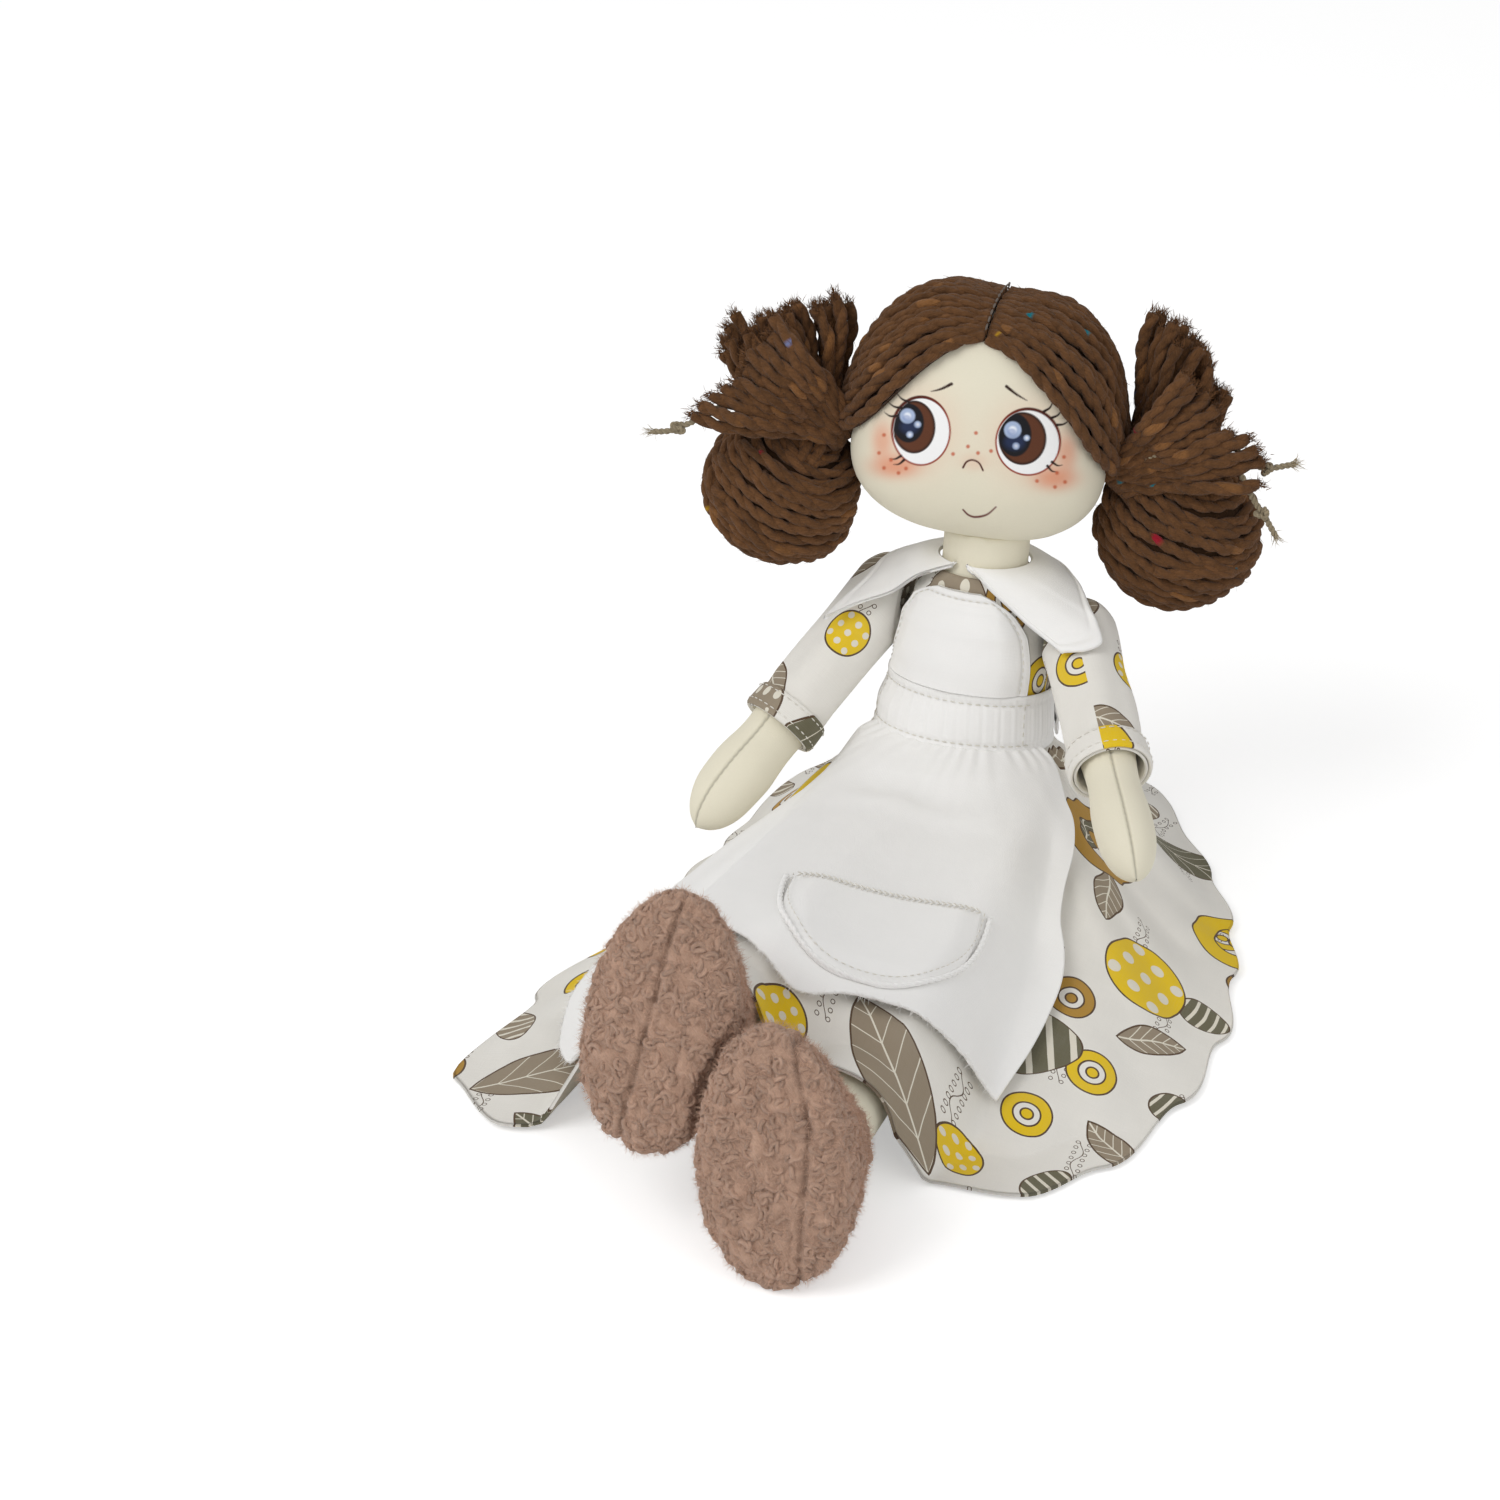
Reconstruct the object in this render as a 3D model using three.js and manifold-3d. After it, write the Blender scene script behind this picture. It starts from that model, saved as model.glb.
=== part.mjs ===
// A handmade cloth doll that sits on the floor with its legs straight out and its head turned to its left.
// Millimetres, +Z up. The origin is the middle of the flat that the doll sits on; its front is -Y, its left +X.
import * as THREE from "three";
import { mergeVertices } from "three/addons/utils/BufferGeometryUtils.js";
import Module from "manifold-3d";

const wasm = await Module();
wasm.setup();

// Layers and clearances
const gap = 0.3;
const cloth = 1.6;
const thinCloth = 1.2;
const overrun = 4;

// Pose, in degrees
const leanBack = 9;
const trunkYaw = -10;
const headYaw = 14;
const headPitch = 7;
const headRoll = 5.5;

// Hips: the trunk's round lower end, on which the doll folds
const hipRadius = 22;
const seatDepth = 0.5;
const hipHalfWidth = 29;
const hipStraight = 15;

// Trunk, from the hip axis up along the body
const chestHalfWidth = 23.5;
const chestHalfDepth = 18.5;
const neckBase = 80.5;
const neckRadius = 13;
const neckLength = 11.5;
const waistLow = 27;
const waistHigh = 45;
const bodiceBelowNeck = 4.5;
const stickRadius = 4;
const stickInBody = 14.5;
const stickInHead = 30;
const neckTop = neckBase + neckLength;
const bodiceTop = neckBase - bodiceBelowNeck;
const stickLow = neckBase - stickInBody;
const stickHigh = neckTop + stickInHead;

// Shoulders and arms
const shoulderBelowNeck = 18.1;
const shoulderHeight = neckBase - shoulderBelowNeck;
const shoulderSpread = 33;
const armSide = 24.6;
const armRadius = 10;
const armLength = 92;
const threadRadius = 1;
const sleeveRadius = 11.6;
const sleeveEnd = 10.8;
const sleeveLength = 52;
const cuffLength = 8;
const handFlatShare = 0.86;

// Head and hair
const headAboveNeck = 31.5;
const headHeight = neckTop + headAboveNeck;
const headShift = 4;
const headHalfWidth = 37.3;
const headHalfDepth = 29;
const headHalfHeight = 37;
const headLowHeight = 34;
const crownTaper = 0.1;
const jawTaper = 0.14;
const hairThickness = 5.2;
const hairSeat = 0.9;
const partingThickness = 3.6;
const partingThread = 0.6;
const bunBehind = 6;
const buns = {
  left: { radius: 24.5, halfDepth: 19, aside: 62.5, below: 22.8 },
  right: { radius: 23.5, halfDepth: 19, aside: 56, below: 31 },
};
const gatherAside = 38;
const gatherBehind = 4;
const gatherBelow = 6;
const stalkRadius = 6;
const tassels = { left: { length: 41, outward: 40 }, right: { length: 37, outward: 57 } };
const tasselHalfWidth = 21;
const tieFrom = 5.8;
const tasselHalfDepth = 12;
const tieWidth = 4;
const tieThickness = 1.8;
const stringRadius = 1;
const knotRadius = 2.4;
const knotFromEnd = 8;

// Collar and apron
const collarInner = 14.2;
const collarTop = 80.8;
const collarRise = 0.8;
const bibBelowNeck = 7.5;
const bibTop = neckBase - bibBelowNeck;
const bandDepth = 1.5;
const knotHalf = 5;
const endLength = 20;
const endWidth = 9;
const pocketHalfWidth = 29;
const pocketDepth = 42;
const pocketAside = 6;
const pocketForward = 97;

// Skirt
const skirtReach = 165;
const waistHalfWidth = 25;
const waistHalfDepth = 20.2;
const foldHeight = 7;
const frontClearance = 2.4;
const hemHeight = 1.9;
const lapWidth = 4;

// Legs and boots
const legRadius = 15;
const hipSpacing = 17;
const bandThickness = 1.5;
const bandHalfWidth = 30;
const bandAbove = 10;
const bandBelow = 44;
const bootWidth = 43;
const bootLength = 73;
const bootDepth = 40;
const ankleHeight = 28;
const bootSocket = 9;
const leftHeel = new THREE.Vector3(14.5, -216, 0.2);
const rightHeel = new THREE.Vector3(-28, -204.2, 25.3);
const leftTilt = { back: 16, roll: -8 };
const rightTilt = { back: 20, roll: 4 };

const radians = THREE.MathUtils.degToRad;
const hipZ = hipRadius - seatDepth;

// Materials
const skin = { color: 0xe6dfc9, roughness: 0.9 };
const print = { color: 0xd9d4c4, roughness: 0.92 };
const white = { color: 0xeeebe4, roughness: 0.92 };
const yarn = { color: 0x6e5138, roughness: 1.0 };
const wool = { color: 0xa07f6d, roughness: 1.0 };
const string = { color: 0xc9b48f, roughness: 0.95 };
const wood = { color: 0xb98d5c, roughness: 0.7 };

const doll = new THREE.Group();
const trunk = new THREE.Group();
const head = new THREE.Group();
const arms = { left: new THREE.Group(), right: new THREE.Group() };
const legs = { left: new THREE.Group(), right: new THREE.Group() };
const boots = { left: new THREE.Group(), right: new THREE.Group() };

// The trunk turns about its own axis and leans back about the hips.
trunk.position.set(0, 0, hipZ);
trunk.rotation.set(radians(-leanBack), 0, radians(trunkYaw), "XYZ");
doll.add(trunk);
trunk.add(head, arms.left, arms.right);
doll.add(legs.left, legs.right, boots.left, boots.right);

// Helpers

// A closed body from vertices and triangles, turned so that its faces point out.
function body(vertices, triangles) {
  let volume = 0;
  for (const [a, b, c] of triangles) {
    volume += vertices[a].dot(new THREE.Vector3().crossVectors(vertices[b], vertices[c]));
  }
  const geometry = new THREE.BufferGeometry();
  const flat = vertices.flatMap((v) => [v.x, v.y, v.z]);
  const order = volume < 0 ? triangles.map(([a, b, c]) => [a, c, b]) : triangles;
  geometry.setAttribute("position", new THREE.Float32BufferAttribute(flat, 3));
  geometry.setIndex(order.flat());
  return geometry;
}

// A stack of rings with as many points each, closed by a point in the middle of each end.
function stack(rings) {
  const sides = rings[0].length;
  const vertices = rings.flat();
  const triangles = [];
  for (let k = 0; k + 1 < rings.length; k += 1) {
    for (let i = 0; i < sides; i += 1) {
      const a = k * sides + i;
      const b = k * sides + (i + 1) % sides;
      triangles.push([a, b, b + sides], [a, b + sides, a + sides]);
    }
  }
  for (const [k, turn] of [[0, 1], [rings.length - 1, 0]]) {
    const middle = new THREE.Vector3();
    rings[k].forEach((p) => middle.add(p));
    vertices.push(middle.divideScalar(sides));
    for (let i = 0; i < sides; i += 1) {
      const a = k * sides + i;
      const b = k * sides + (i + 1) % sides;
      triangles.push(turn ? [a, vertices.length - 1, b] : [a, b, vertices.length - 1]);
    }
  }
  return body(vertices, triangles);
}

// A sheet with thickness: top(u, v) and under(u, v) for u and v from 0 to 1, joined along its edges.
function sheet(top, under, across, along, round = false) {
  const columns = round ? across : across + 1;
  const vertices = [];
  for (const side of [top, under]) {
    for (let i = 0; i < columns; i += 1) {
      for (let j = 0; j <= along; j += 1) {
        vertices.push(side(i / across, j / along));
      }
    }
  }
  const rows = along + 1;
  const low = columns * rows;
  const at = (i, j) => (i % columns) * rows + j;
  const triangles = [];
  const quad = (a, b, c, d) => triangles.push([a, b, c], [a, c, d]);
  for (let i = 0; i < across; i += 1) {
    for (let j = 0; j < along; j += 1) {
      quad(at(i, j), at(i + 1, j), at(i + 1, j + 1), at(i, j + 1));
      quad(low + at(i, j), low + at(i, j + 1), low + at(i + 1, j + 1), low + at(i + 1, j));
    }
    quad(at(i, 0), low + at(i, 0), low + at(i + 1, 0), at(i + 1, 0));
    quad(at(i, along), at(i + 1, along), low + at(i + 1, along), low + at(i, along));
  }
  if (!round) {
    for (let j = 0; j < along; j += 1) {
      quad(at(0, j), at(0, j + 1), low + at(0, j + 1), low + at(0, j));
      quad(at(across, j), low + at(across, j), low + at(across, j + 1), at(across, j + 1));
    }
  }
  return body(vertices, triangles);
}

// The normal of a surface p(u, v), pointing up or away from the body's axis.
function normalOf(p, u, v, outward) {
  const step = 0.004;
  const du = p(u + step, v).sub(p(u - step, v));
  const dv = p(u, Math.min(v + step, 1)).sub(p(u, Math.max(v - step, 0)));
  const n = du.cross(dv).normalize();
  return n.dot(outward(u, v)) < 0 ? n.negate() : n;
}

function solid(geometry) {
  let welded = geometry;
  if (geometry.attributes.normal) {
    welded = geometry.clone();
    welded.deleteAttribute("normal");
    welded.deleteAttribute("uv");
    welded = mergeVertices(welded, gap / 100);
  }
  return new wasm.Manifold(new wasm.Mesh({
    numProp: 3,
    vertProperties: new Float32Array(welded.attributes.position.array),
    triVerts: new Uint32Array(welded.index.array),
  }));
}

function geometryOf(manifold) {
  const mesh = manifold.getMesh();
  const geometry = new THREE.BufferGeometry();
  geometry.setAttribute("position", new THREE.Float32BufferAttribute(mesh.vertProperties, 3));
  geometry.setIndex(Array.from(mesh.triVerts));
  return geometry;
}

const minus = (a, ...cuts) => geometryOf(cuts.reduce((left, c) => left.subtract(solid(c)), solid(a)));

// A round body about +Z from a table of [share along, share of radius].
function turned(shares, length, radius, sides, more = 0) {
  const outline = shares.map(([along, wide]) => {
    const out = wide ? wide * radius + more : 0;
    return new THREE.Vector2(out, along * length);
  });
  return new THREE.LatheGeometry(outline, sides);
}

function rod(radius, from, to, sides = 16) {
  const outline = [[0, from], [radius, from], [radius, to], [0, to]].map(([r, z]) => new THREE.Vector2(r, z));
  return new THREE.LatheGeometry(outline, sides).rotateX(Math.PI / 2);
}

function add(group, name, geometry, finish) {
  const mesh = new THREE.Mesh(geometry, new THREE.MeshStandardMaterial({ metalness: 0, ...finish }));
  mesh.name = name;
  group.add(mesh);
  return mesh;
}

const ellipse = (halfWidth, halfDepth, height, sides) => Array.from({ length: sides }, (_, i) => {
  const turn = 2 * Math.PI * i / sides;
  return new THREE.Vector3(halfWidth * Math.cos(turn), halfDepth * Math.sin(turn), height);
});

// Values between the rows of a table of [at, value, ...], smoothly.
function between(table, at, column = 1) {
  let k = 0;
  while (k + 2 < table.length && at > table[k + 1][0]) {
    k += 1;
  }
  const share = THREE.MathUtils.clamp((at - table[k][0]) / (table[k + 1][0] - table[k][0]), 0, 1);
  const smooth = share * share * (3 - 2 * share);
  return table[k][column] + (table[k + 1][column] - table[k][column]) * smooth;
}

// Trunk

// Rows: height as a share of the neck base, half width and half depth as shares of the chest's.
const trunkShares = [
  [0, 1.14, 1.08], [0.14, 1.12, 1.06], [0.34, 0.96, 0.93], [0.5, 0.93, 0.9], [0.66, 0.97, 0.97],
  [0.78, 0.94, 0.92], [0.87, 0.84, 0.84], [0.94, 0.68, 0.76], [1, 0.553, 0.7027],
];
const trunkSides = 24;

function trunkRing(height, more) {
  const at = height / neckBase;
  const wide = between(trunkShares, at, 1) * chestHalfWidth + more;
  const deep = between(trunkShares, at, 2) * chestHalfDepth + more;
  return ellipse(wide, deep, height, trunkSides);
}

// The hips are a barrel about the fold's axis, flat underneath.
function hipBarrel(more = 0) {
  const barrelShares = [[0, 1], [0.35, 0.95], [0.65, 0.8], [0.88, 0.52], [1, 0]];
  const round = hipHalfWidth - hipStraight;
  const outline = [
    ...barrelShares.toReversed().map(([out, r]) => [-hipStraight - out * round - (r ? 0 : more), r]),
    ...barrelShares.map(([out, r]) => [hipStraight + out * round + (r ? 0 : more), r]),
  ].map(([x, r]) => new THREE.Vector2(r * hipRadius + (r ? more : 0), x));
  return new THREE.LatheGeometry(outline, 32).rotateZ(-Math.PI / 2);
}

function trunkBody() {
  const heights = [0, 0.07, 0.16, 0.27, 0.37, 0.5, 0.62, 0.72, 0.8, 0.87, 0.93, 0.97, 1];
  const rings = heights.map((share) => trunkRing(share * neckBase, 0));
  rings.push(ellipse(neckRadius, neckRadius, neckTop, trunkSides));
  const upper = solid(stack(rings));
  const bore = solid(rod(stickRadius + gap, stickLow - gap, neckTop + overrun));
  const threadBore = solid(rod(threadRadius + gap, -armSide * 2, armSide * 2, 8).rotateY(Math.PI / 2)
    .translate(0, 0, shoulderHeight));
  const toHips = new THREE.Matrix4().makeRotationFromEuler(trunk.rotation).invert();
  const barrel = solid(hipBarrel().applyMatrix4(toHips));
  const floor = new THREE.BoxGeometry(hipHalfWidth * 4, hipHalfWidth * 4, hipRadius)
    .translate(0, 0, -hipZ - hipRadius / 2).applyMatrix4(toHips);
  return geometryOf(upper.add(barrel).subtract(solid(floor)).subtract(bore).subtract(threadBore));
}

function bodice() {
  const rows = [waistLow + gap, waistLow * 1.25, 0.5 * neckBase, 0.62 * neckBase, 0.72 * neckBase, 0.8 * neckBase,
    0.87 * neckBase, bodiceTop];
  const at = (more) => (u, v) => {
    const height = rows[Math.round(v * (rows.length - 1))];
    const ring = trunkRing(height, more);
    return ring[Math.round(u * trunkSides) % trunkSides];
  };
  const dress = sheet(at(gap + thinCloth), at(gap), trunkSides, rows.length - 1, true);
  const hole = rod(threadRadius + gap, -armSide * 2, armSide * 2, 8).rotateY(Math.PI / 2)
    .translate(0, 0, shoulderHeight);
  return minus(dress, hole);
}

const bodiceOut = gap + thinCloth;

function waistband() {
  const ring = (more) => (u, v) => {
    const height = waistLow + gap + v * (waistHigh - waistLow);
    return trunkRing(height, more)[Math.round(u * trunkSides) % trunkSides];
  };
  return sheet(ring(bodiceOut + gap + bandDepth), ring(bodiceOut + gap), trunkSides, 4, true);
}

// The bib is a dome: its half angle narrows towards the top as a round end does.
function bib() {
  const widest = radians(66);
  const front = -Math.PI / 2;
  const at = (more) => (u, v) => {
    const height = THREE.MathUtils.lerp(waistHigh + 2 * gap, bibTop, v);
    const turn = front + (2 * u - 1) * widest * Math.sqrt(1 - (0.97 * v) ** 4);
    const share = height / neckBase;
    const wide = between(trunkShares, share, 1) * chestHalfWidth + more;
    const deep = between(trunkShares, share, 2) * chestHalfDepth + more;
    return new THREE.Vector3(wide * Math.cos(turn), deep * Math.sin(turn), height);
  };
  return sheet(at(bodiceOut + 2 * gap + thinCloth), at(bodiceOut + 2 * gap), 12, 7);
}

// Collar leaves: where each starts and ends on the neck, in degrees, its front edge out to the corner, and
// its outer edge from there round to the back.
const collars = {
  right: {
    neck: [-104, -266],
    edge: [[-3.5, -13.8, 80.8], [-10.8, -15.6, 80.5], [-18, -17, 78.5], [-27, -20, 76.2], [-39, -24.5, 73.8]],
    outer: [[-39, -24.5, 73.8], [-38, -17.5, 74.4], [-35, -10, 75.2], [-33, -3, 76.2], [-31, 5, 77.2],
      [-22, 16, 78.5], [-12, 22, 79.3], [-1.5, 24, 79.8]],
  },
  left: {
    neck: [-88, 82],
    edge: [[0.5, -13.8, 80.8], [10.4, -16.3, 79.8], [20.8, -18, 76.4], [28.5, -19.2, 73.8], [36, -21, 71.6]],
    outer: [[36, -21, 71.6], [41, -18.5, 71], [43.6, -14.6, 70.9], [41.6, -10, 72.3], [38.2, -5, 74.2],
      [31, 3.7, 77], [26, 10, 78], [16.5, 18.5, 79], [2, 24, 79.8]],
  },
};

// A collar leaf lies open from the neck over the shoulder.
function collarLeaf(leaf) {
  const curve = (points) => new THREE.CatmullRomCurve3(points.map((p) => new THREE.Vector3(...p)));
  const outer = curve(leaf.outer);
  const front = curve(leaf.edge);
  const neckAt = (u) => {
    const turn = radians(THREE.MathUtils.lerp(...leaf.neck, u));
    return new THREE.Vector3(collarInner * Math.cos(turn), collarInner * Math.sin(turn), collarTop);
  };
  const at = (more) => (u, v) => {
    const bend = front.getPointAt(v).sub(neckAt(0).lerp(outer.getPointAt(0), v)).multiplyScalar((1 - u) ** 3);
    const place = neckAt(u).lerp(outer.getPointAt(u), v).add(bend);
    return place.setZ(place.z + collarRise * Math.sin(Math.PI * v) + more);
  };
  return sheet(at(thinCloth), at(0), 16, 5);
}

add(trunk, "torso", trunkBody(), skin);
add(trunk, "neck_stick", rod(stickRadius, stickLow, stickHigh), wood);
add(trunk, "shoulder_thread", rod(threadRadius, -shoulderSpread, shoulderSpread, 8).rotateY(Math.PI / 2)
  .translate(0, 0, shoulderHeight), string);
add(trunk, "bodice", bodice(), print);
add(trunk, "apron_waistband", waistband(), white);
add(trunk, "apron_bib", bib(), white);
add(trunk, "collar_left", collarLeaf(collars.left), white);
add(trunk, "collar_right", collarLeaf(collars.right), white);

// The band's knot and two short ends at the back.
const bandOut = bodiceOut + gap + bandDepth;
const bandBack = between(trunkShares, waistLow / neckBase * 1.3, 2) * chestHalfDepth + bandOut + gap;
const knotHeight = (waistLow + waistHigh) / 2;
const knotDepth = knotHalf * 0.7;
add(trunk, "apron_knot", new THREE.SphereGeometry(knotHalf, 14, 10).scale(1, 0.7, 1)
  .translate(0, bandBack + knotDepth + gap, knotHeight), white);
for (const [side, name] of [[1, "apron_end_left"], [-1, "apron_end_right"]]) {
  const at = (more) => (u, v) => {
    const turn = Math.PI / 2 - side * (knotHalf + gap + v * endLength) / bandBack;
    const height = knotHeight + (u - 0.5) * endWidth * (0.55 + 0.45 * v) - v * endWidth / 4;
    const wide = between(trunkShares, height / neckBase, 1) * chestHalfWidth + bandOut + gap * 2 + more;
    const deep = between(trunkShares, height / neckBase, 2) * chestHalfDepth + bandOut + gap * 2 + more;
    return new THREE.Vector3(wide * Math.cos(turn), deep * Math.sin(turn), height);
  };
  add(trunk, name, sheet(at(thinCloth), at(0), 2, 5), white);
}

// Arms

const armShares = [
  [-0.11, 0], [-0.1, 0.38], [-0.08, 0.72], [-0.045, 0.95], [0, 1], [0.14, 0.98], [0.32, 0.95], [0.5, 0.92],
  [0.64, 0.89], [0.76, 0.98], [0.86, 0.94], [0.93, 0.74], [0.975, 0.42], [1, 0],
];
const sleeveShares = [[-0.28, 0], [-0.26, 0.4], [-0.2, 0.76], [-0.1, 0.97], [0, 1], [0.3, 0.98], [0.65, 0.95],
  [1, sleeveEnd / sleeveRadius]];

// Directions from the shoulder to the hand, in the trunk's own axes.
const armWay = {
  left: new THREE.Vector3(0.55, -0.7, -0.44).normalize(),
  right: new THREE.Vector3(-0.3, -0.66, -0.69).normalize(),
};

function armTurn(way) {
  return new THREE.Quaternion().setFromUnitVectors(new THREE.Vector3(0, 1, 0), way);
}

for (const [key, side] of [["left", 1], ["right", -1]]) {
  const place = arms[key];
  place.position.set(side * shoulderSpread, 0, shoulderHeight);
  const turn = new THREE.Matrix4().makeRotationFromQuaternion(armTurn(armWay[key]));
  const cutBlock = new THREE.BoxGeometry(armSide * 2, armLength * 3, armLength * 3)
    .translate(-side * shoulderSpread, 0, 0);
  const threadHole = rod(threadRadius + gap, -shoulderSpread, gap * 2, 8).rotateY(side * Math.PI / 2);

  const limb = turned(armShares, armLength, armRadius, 16).scale(1, 1, handFlatShare).applyMatrix4(turn);
  add(place, `arm_${key}`, minus(limb, cutBlock, threadHole), skin);

  const outside = turned([...sleeveShares, [1, 0]], sleeveLength, sleeveRadius, 18).applyMatrix4(turn);
  const insideShares = [...sleeveShares.slice(0, -1), [1.2, sleeveEnd / sleeveRadius * 1.03], [1.2, 0]];
  const inside = turned(insideShares, sleeveLength, sleeveRadius, 18, -thinCloth).applyMatrix4(turn);
  add(place, `sleeve_${key}`, minus(outside, inside, cutBlock), print);

  const cuffOut = sleeveEnd + gap + thinCloth;
  const cuffIn = sleeveEnd + gap;
  const cuffFrom = sleeveLength - cuffLength;
  const cuffOutline = [[cuffIn, cuffFrom], [cuffOut, cuffFrom], [cuffOut, sleeveLength], [cuffIn, sleeveLength],
    [cuffIn, cuffFrom]].map(([r, z]) => new THREE.Vector2(r, z));
  add(place, `cuff_${key}`, new THREE.LatheGeometry(cuffOutline, 18).applyMatrix4(turn), print);
}

// Head

head.position.set(-headShift, 0, headHeight);
head.rotation.set(radians(-headPitch), radians(headRoll), radians(headYaw - trunkYaw), "ZXY");

// How far the head's surface is from its middle in a direction: a cushion shape, wider below.
function headReach(way) {
  let near = 0;
  let far = 2 * headHalfWidth;
  for (let k = 0; k < 40; k += 1) {
    const reach = (near + far) / 2;
    const [halfHeight, taper] = way.z > 0 ? [headHalfHeight, crownTaper] : [headLowHeight, jawTaper];
    const z = way.z * reach / halfHeight;
    const x = Math.abs(way.x * reach) / (headHalfWidth * (1 - taper * z));
    const y = Math.abs(way.y * reach) / headHalfDepth;
    if (x ** 2.5 + y ** 2.2 + Math.abs(z) ** 2.6 < 1) {
      near = reach;
    } else {
      far = reach;
    }
  }
  return near;
}

const onHead = (way, more) => way.clone().multiplyScalar(headReach(way) + more);

function headBody() {
  const sides = 24;
  const levels = 15;
  const rings = [];
  for (let k = 1; k < levels; k += 1) {
    const rise = Math.PI * (k / levels - 0.5);
    rings.push(Array.from({ length: sides }, (_, i) => {
      const turn = 2 * Math.PI * i / sides;
      const flat = Math.cos(rise);
      return onHead(new THREE.Vector3(flat * Math.cos(turn), flat * Math.sin(turn), Math.sin(rise)).normalize(), 0);
    }));
  }
  const toTrunk = new THREE.Matrix4().compose(head.position, head.quaternion, head.scale).invert();
  const socket = rod(neckRadius + gap, neckBase, neckTop + gap, 32).applyMatrix4(toTrunk);
  const bore = rod(stickRadius + gap, neckBase, stickHigh + gap).applyMatrix4(toTrunk);
  return minus(stack(rings), socket, bore);
}

add(head, "head", headBody(), skin);

// Hair: each half's strands run from the parting over the head to one gathering point at the side.
const hairlineFront = radians(49.4);
const partingAside = -0.174;
const frontSweep = new THREE.Vector3(-0.34, -0.25, -0.88);
const sweepPower = 1.26;
const hairlineBack = radians(212);

function gatherWay(side) {
  return new THREE.Vector3(side * gatherAside, gatherBehind, -gatherBelow).normalize();
}

// Where the parting lies at an angle back from the face; in front it stands a little to the doll's right.
function partingWay(back) {
  const aside = partingAside * Math.max(0, Math.cos(back));
  return new THREE.Vector3(aside, -Math.cos(back), Math.sin(back)).normalize();
}

function strandWay(side, back, share) {
  const from = partingWay(back);
  const angle = from.angleTo(gatherWay(side));
  const to = gatherWay(side);
  const way = from.multiplyScalar(Math.sin((1 - share) * angle)).addScaledVector(to, Math.sin(share * angle));
  const front = Math.max(0, Math.cos(back)) ** 2 * Math.sin(Math.PI * share ** sweepPower);
  return way.normalize()
    .add(new THREE.Vector3(side * frontSweep.x, frontSweep.y, frontSweep.z).multiplyScalar(front))
    .normalize();
}

// The bunch's frame stands at the gathering point, its axis along the tassel.
const tieIn = stalkRadius + gap;
const tieOut = tieIn + tieThickness;

function bunchFrame(side) {
  const start = onHead(gatherWay(side), hairThickness + gap);
  const outward = radians(tassels[side > 0 ? "left" : "right"].outward);
  const tilt = new THREE.Quaternion().setFromUnitVectors(
    new THREE.Vector3(0, 0, 1),
    new THREE.Vector3(side * Math.sin(outward), 0, Math.cos(outward)),
  );
  return new THREE.Matrix4().compose(start, tilt, new THREE.Vector3(1, 1, 1));
}

const tieRoom = (side) => rod(tieOut + gap, -tieFrom * 3, tieFrom * 7, 16).applyMatrix4(bunchFrame(side));

for (const [key, side] of [["left", 1], ["right", -1]]) {
  const layer = (more, thin) => (u, v) => {
    const back = hairlineFront + u * (hairlineBack - hairlineFront);
    const share = 0.012 + v * 0.9;
    const rise = THREE.MathUtils.smoothstep(v, 0, 0.3);
    return onHead(strandWay(side, back, share), THREE.MathUtils.lerp(thin, more, rise));
  };
  add(head, `hair_${key}`, minus(
    sheet(layer(hairThickness, partingThickness), layer(hairSeat, hairSeat), 15, 11), tieRoom(side),
  ), yarn);
}

const partingCurve = new THREE.CatmullRomCurve3(Array.from({ length: 9 }, (_, i) => {
  const back = hairlineFront + (i / 8) * (hairlineBack - hairlineFront) * 0.62;
  return onHead(partingWay(back), partingThickness + gap + partingThread);
}));
const threadSection = new THREE.Shape().absarc(0, 0, partingThread, 0, 2 * Math.PI);
add(head, "parting_stitch", new THREE.ExtrudeGeometry(threadSection, {
  steps: 16, curveSegments: 3, bevelEnabled: false, extrudePath: partingCurve,
}), string);

// Bunches: a tassel of cut ends stands up from the tie, and the bun hangs below it.
const tasselShares = [[0, 0.9], [0.12, 0.98], [0.3, 0.98], [0.5, 1.9], [0.78, 2.9], [1, 3.4]];
for (const [key, side] of [["left", 1], ["right", -1]]) {
  const place = bunchFrame(side);
  const tasselLength = tassels[key].length;
  const tassel = (more) => stack(tasselShares.map(([along, wide]) => {
    const half = wide * stalkRadius;
    const deep = Math.min(half, stalkRadius + (tasselHalfDepth - stalkRadius) * along);
    const height = along > 0 ? along * tasselLength : -more;
    return ellipse(Math.min(half, tasselHalfWidth) + more, deep + more, height, 16);
  })).applyMatrix4(place);
  add(head, `tassel_${key}`, tassel(0), yarn);
  const tieOutline = [[tieIn, tieFrom], [tieOut, tieFrom], [tieOut, tieFrom + tieWidth],
    [tieIn, tieFrom + tieWidth], [tieIn, tieFrom]].map(([r, z]) => new THREE.Vector2(r, z));
  add(head, `tie_${key}`, new THREE.LatheGeometry(tieOutline, 16).rotateX(Math.PI / 2).applyMatrix4(place), string);

  const { radius, halfDepth, aside, below } = buns[key];
  const bun = new THREE.SphereGeometry(radius, 16, 11).rotateX(Math.PI / 2)
    .scale(1, halfDepth / radius, 1).translate(side * aside, bunBehind, -below);
  add(head, `bun_${key}`, minus(bun, tieRoom(side), tassel(gap)), yarn);
}

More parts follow.
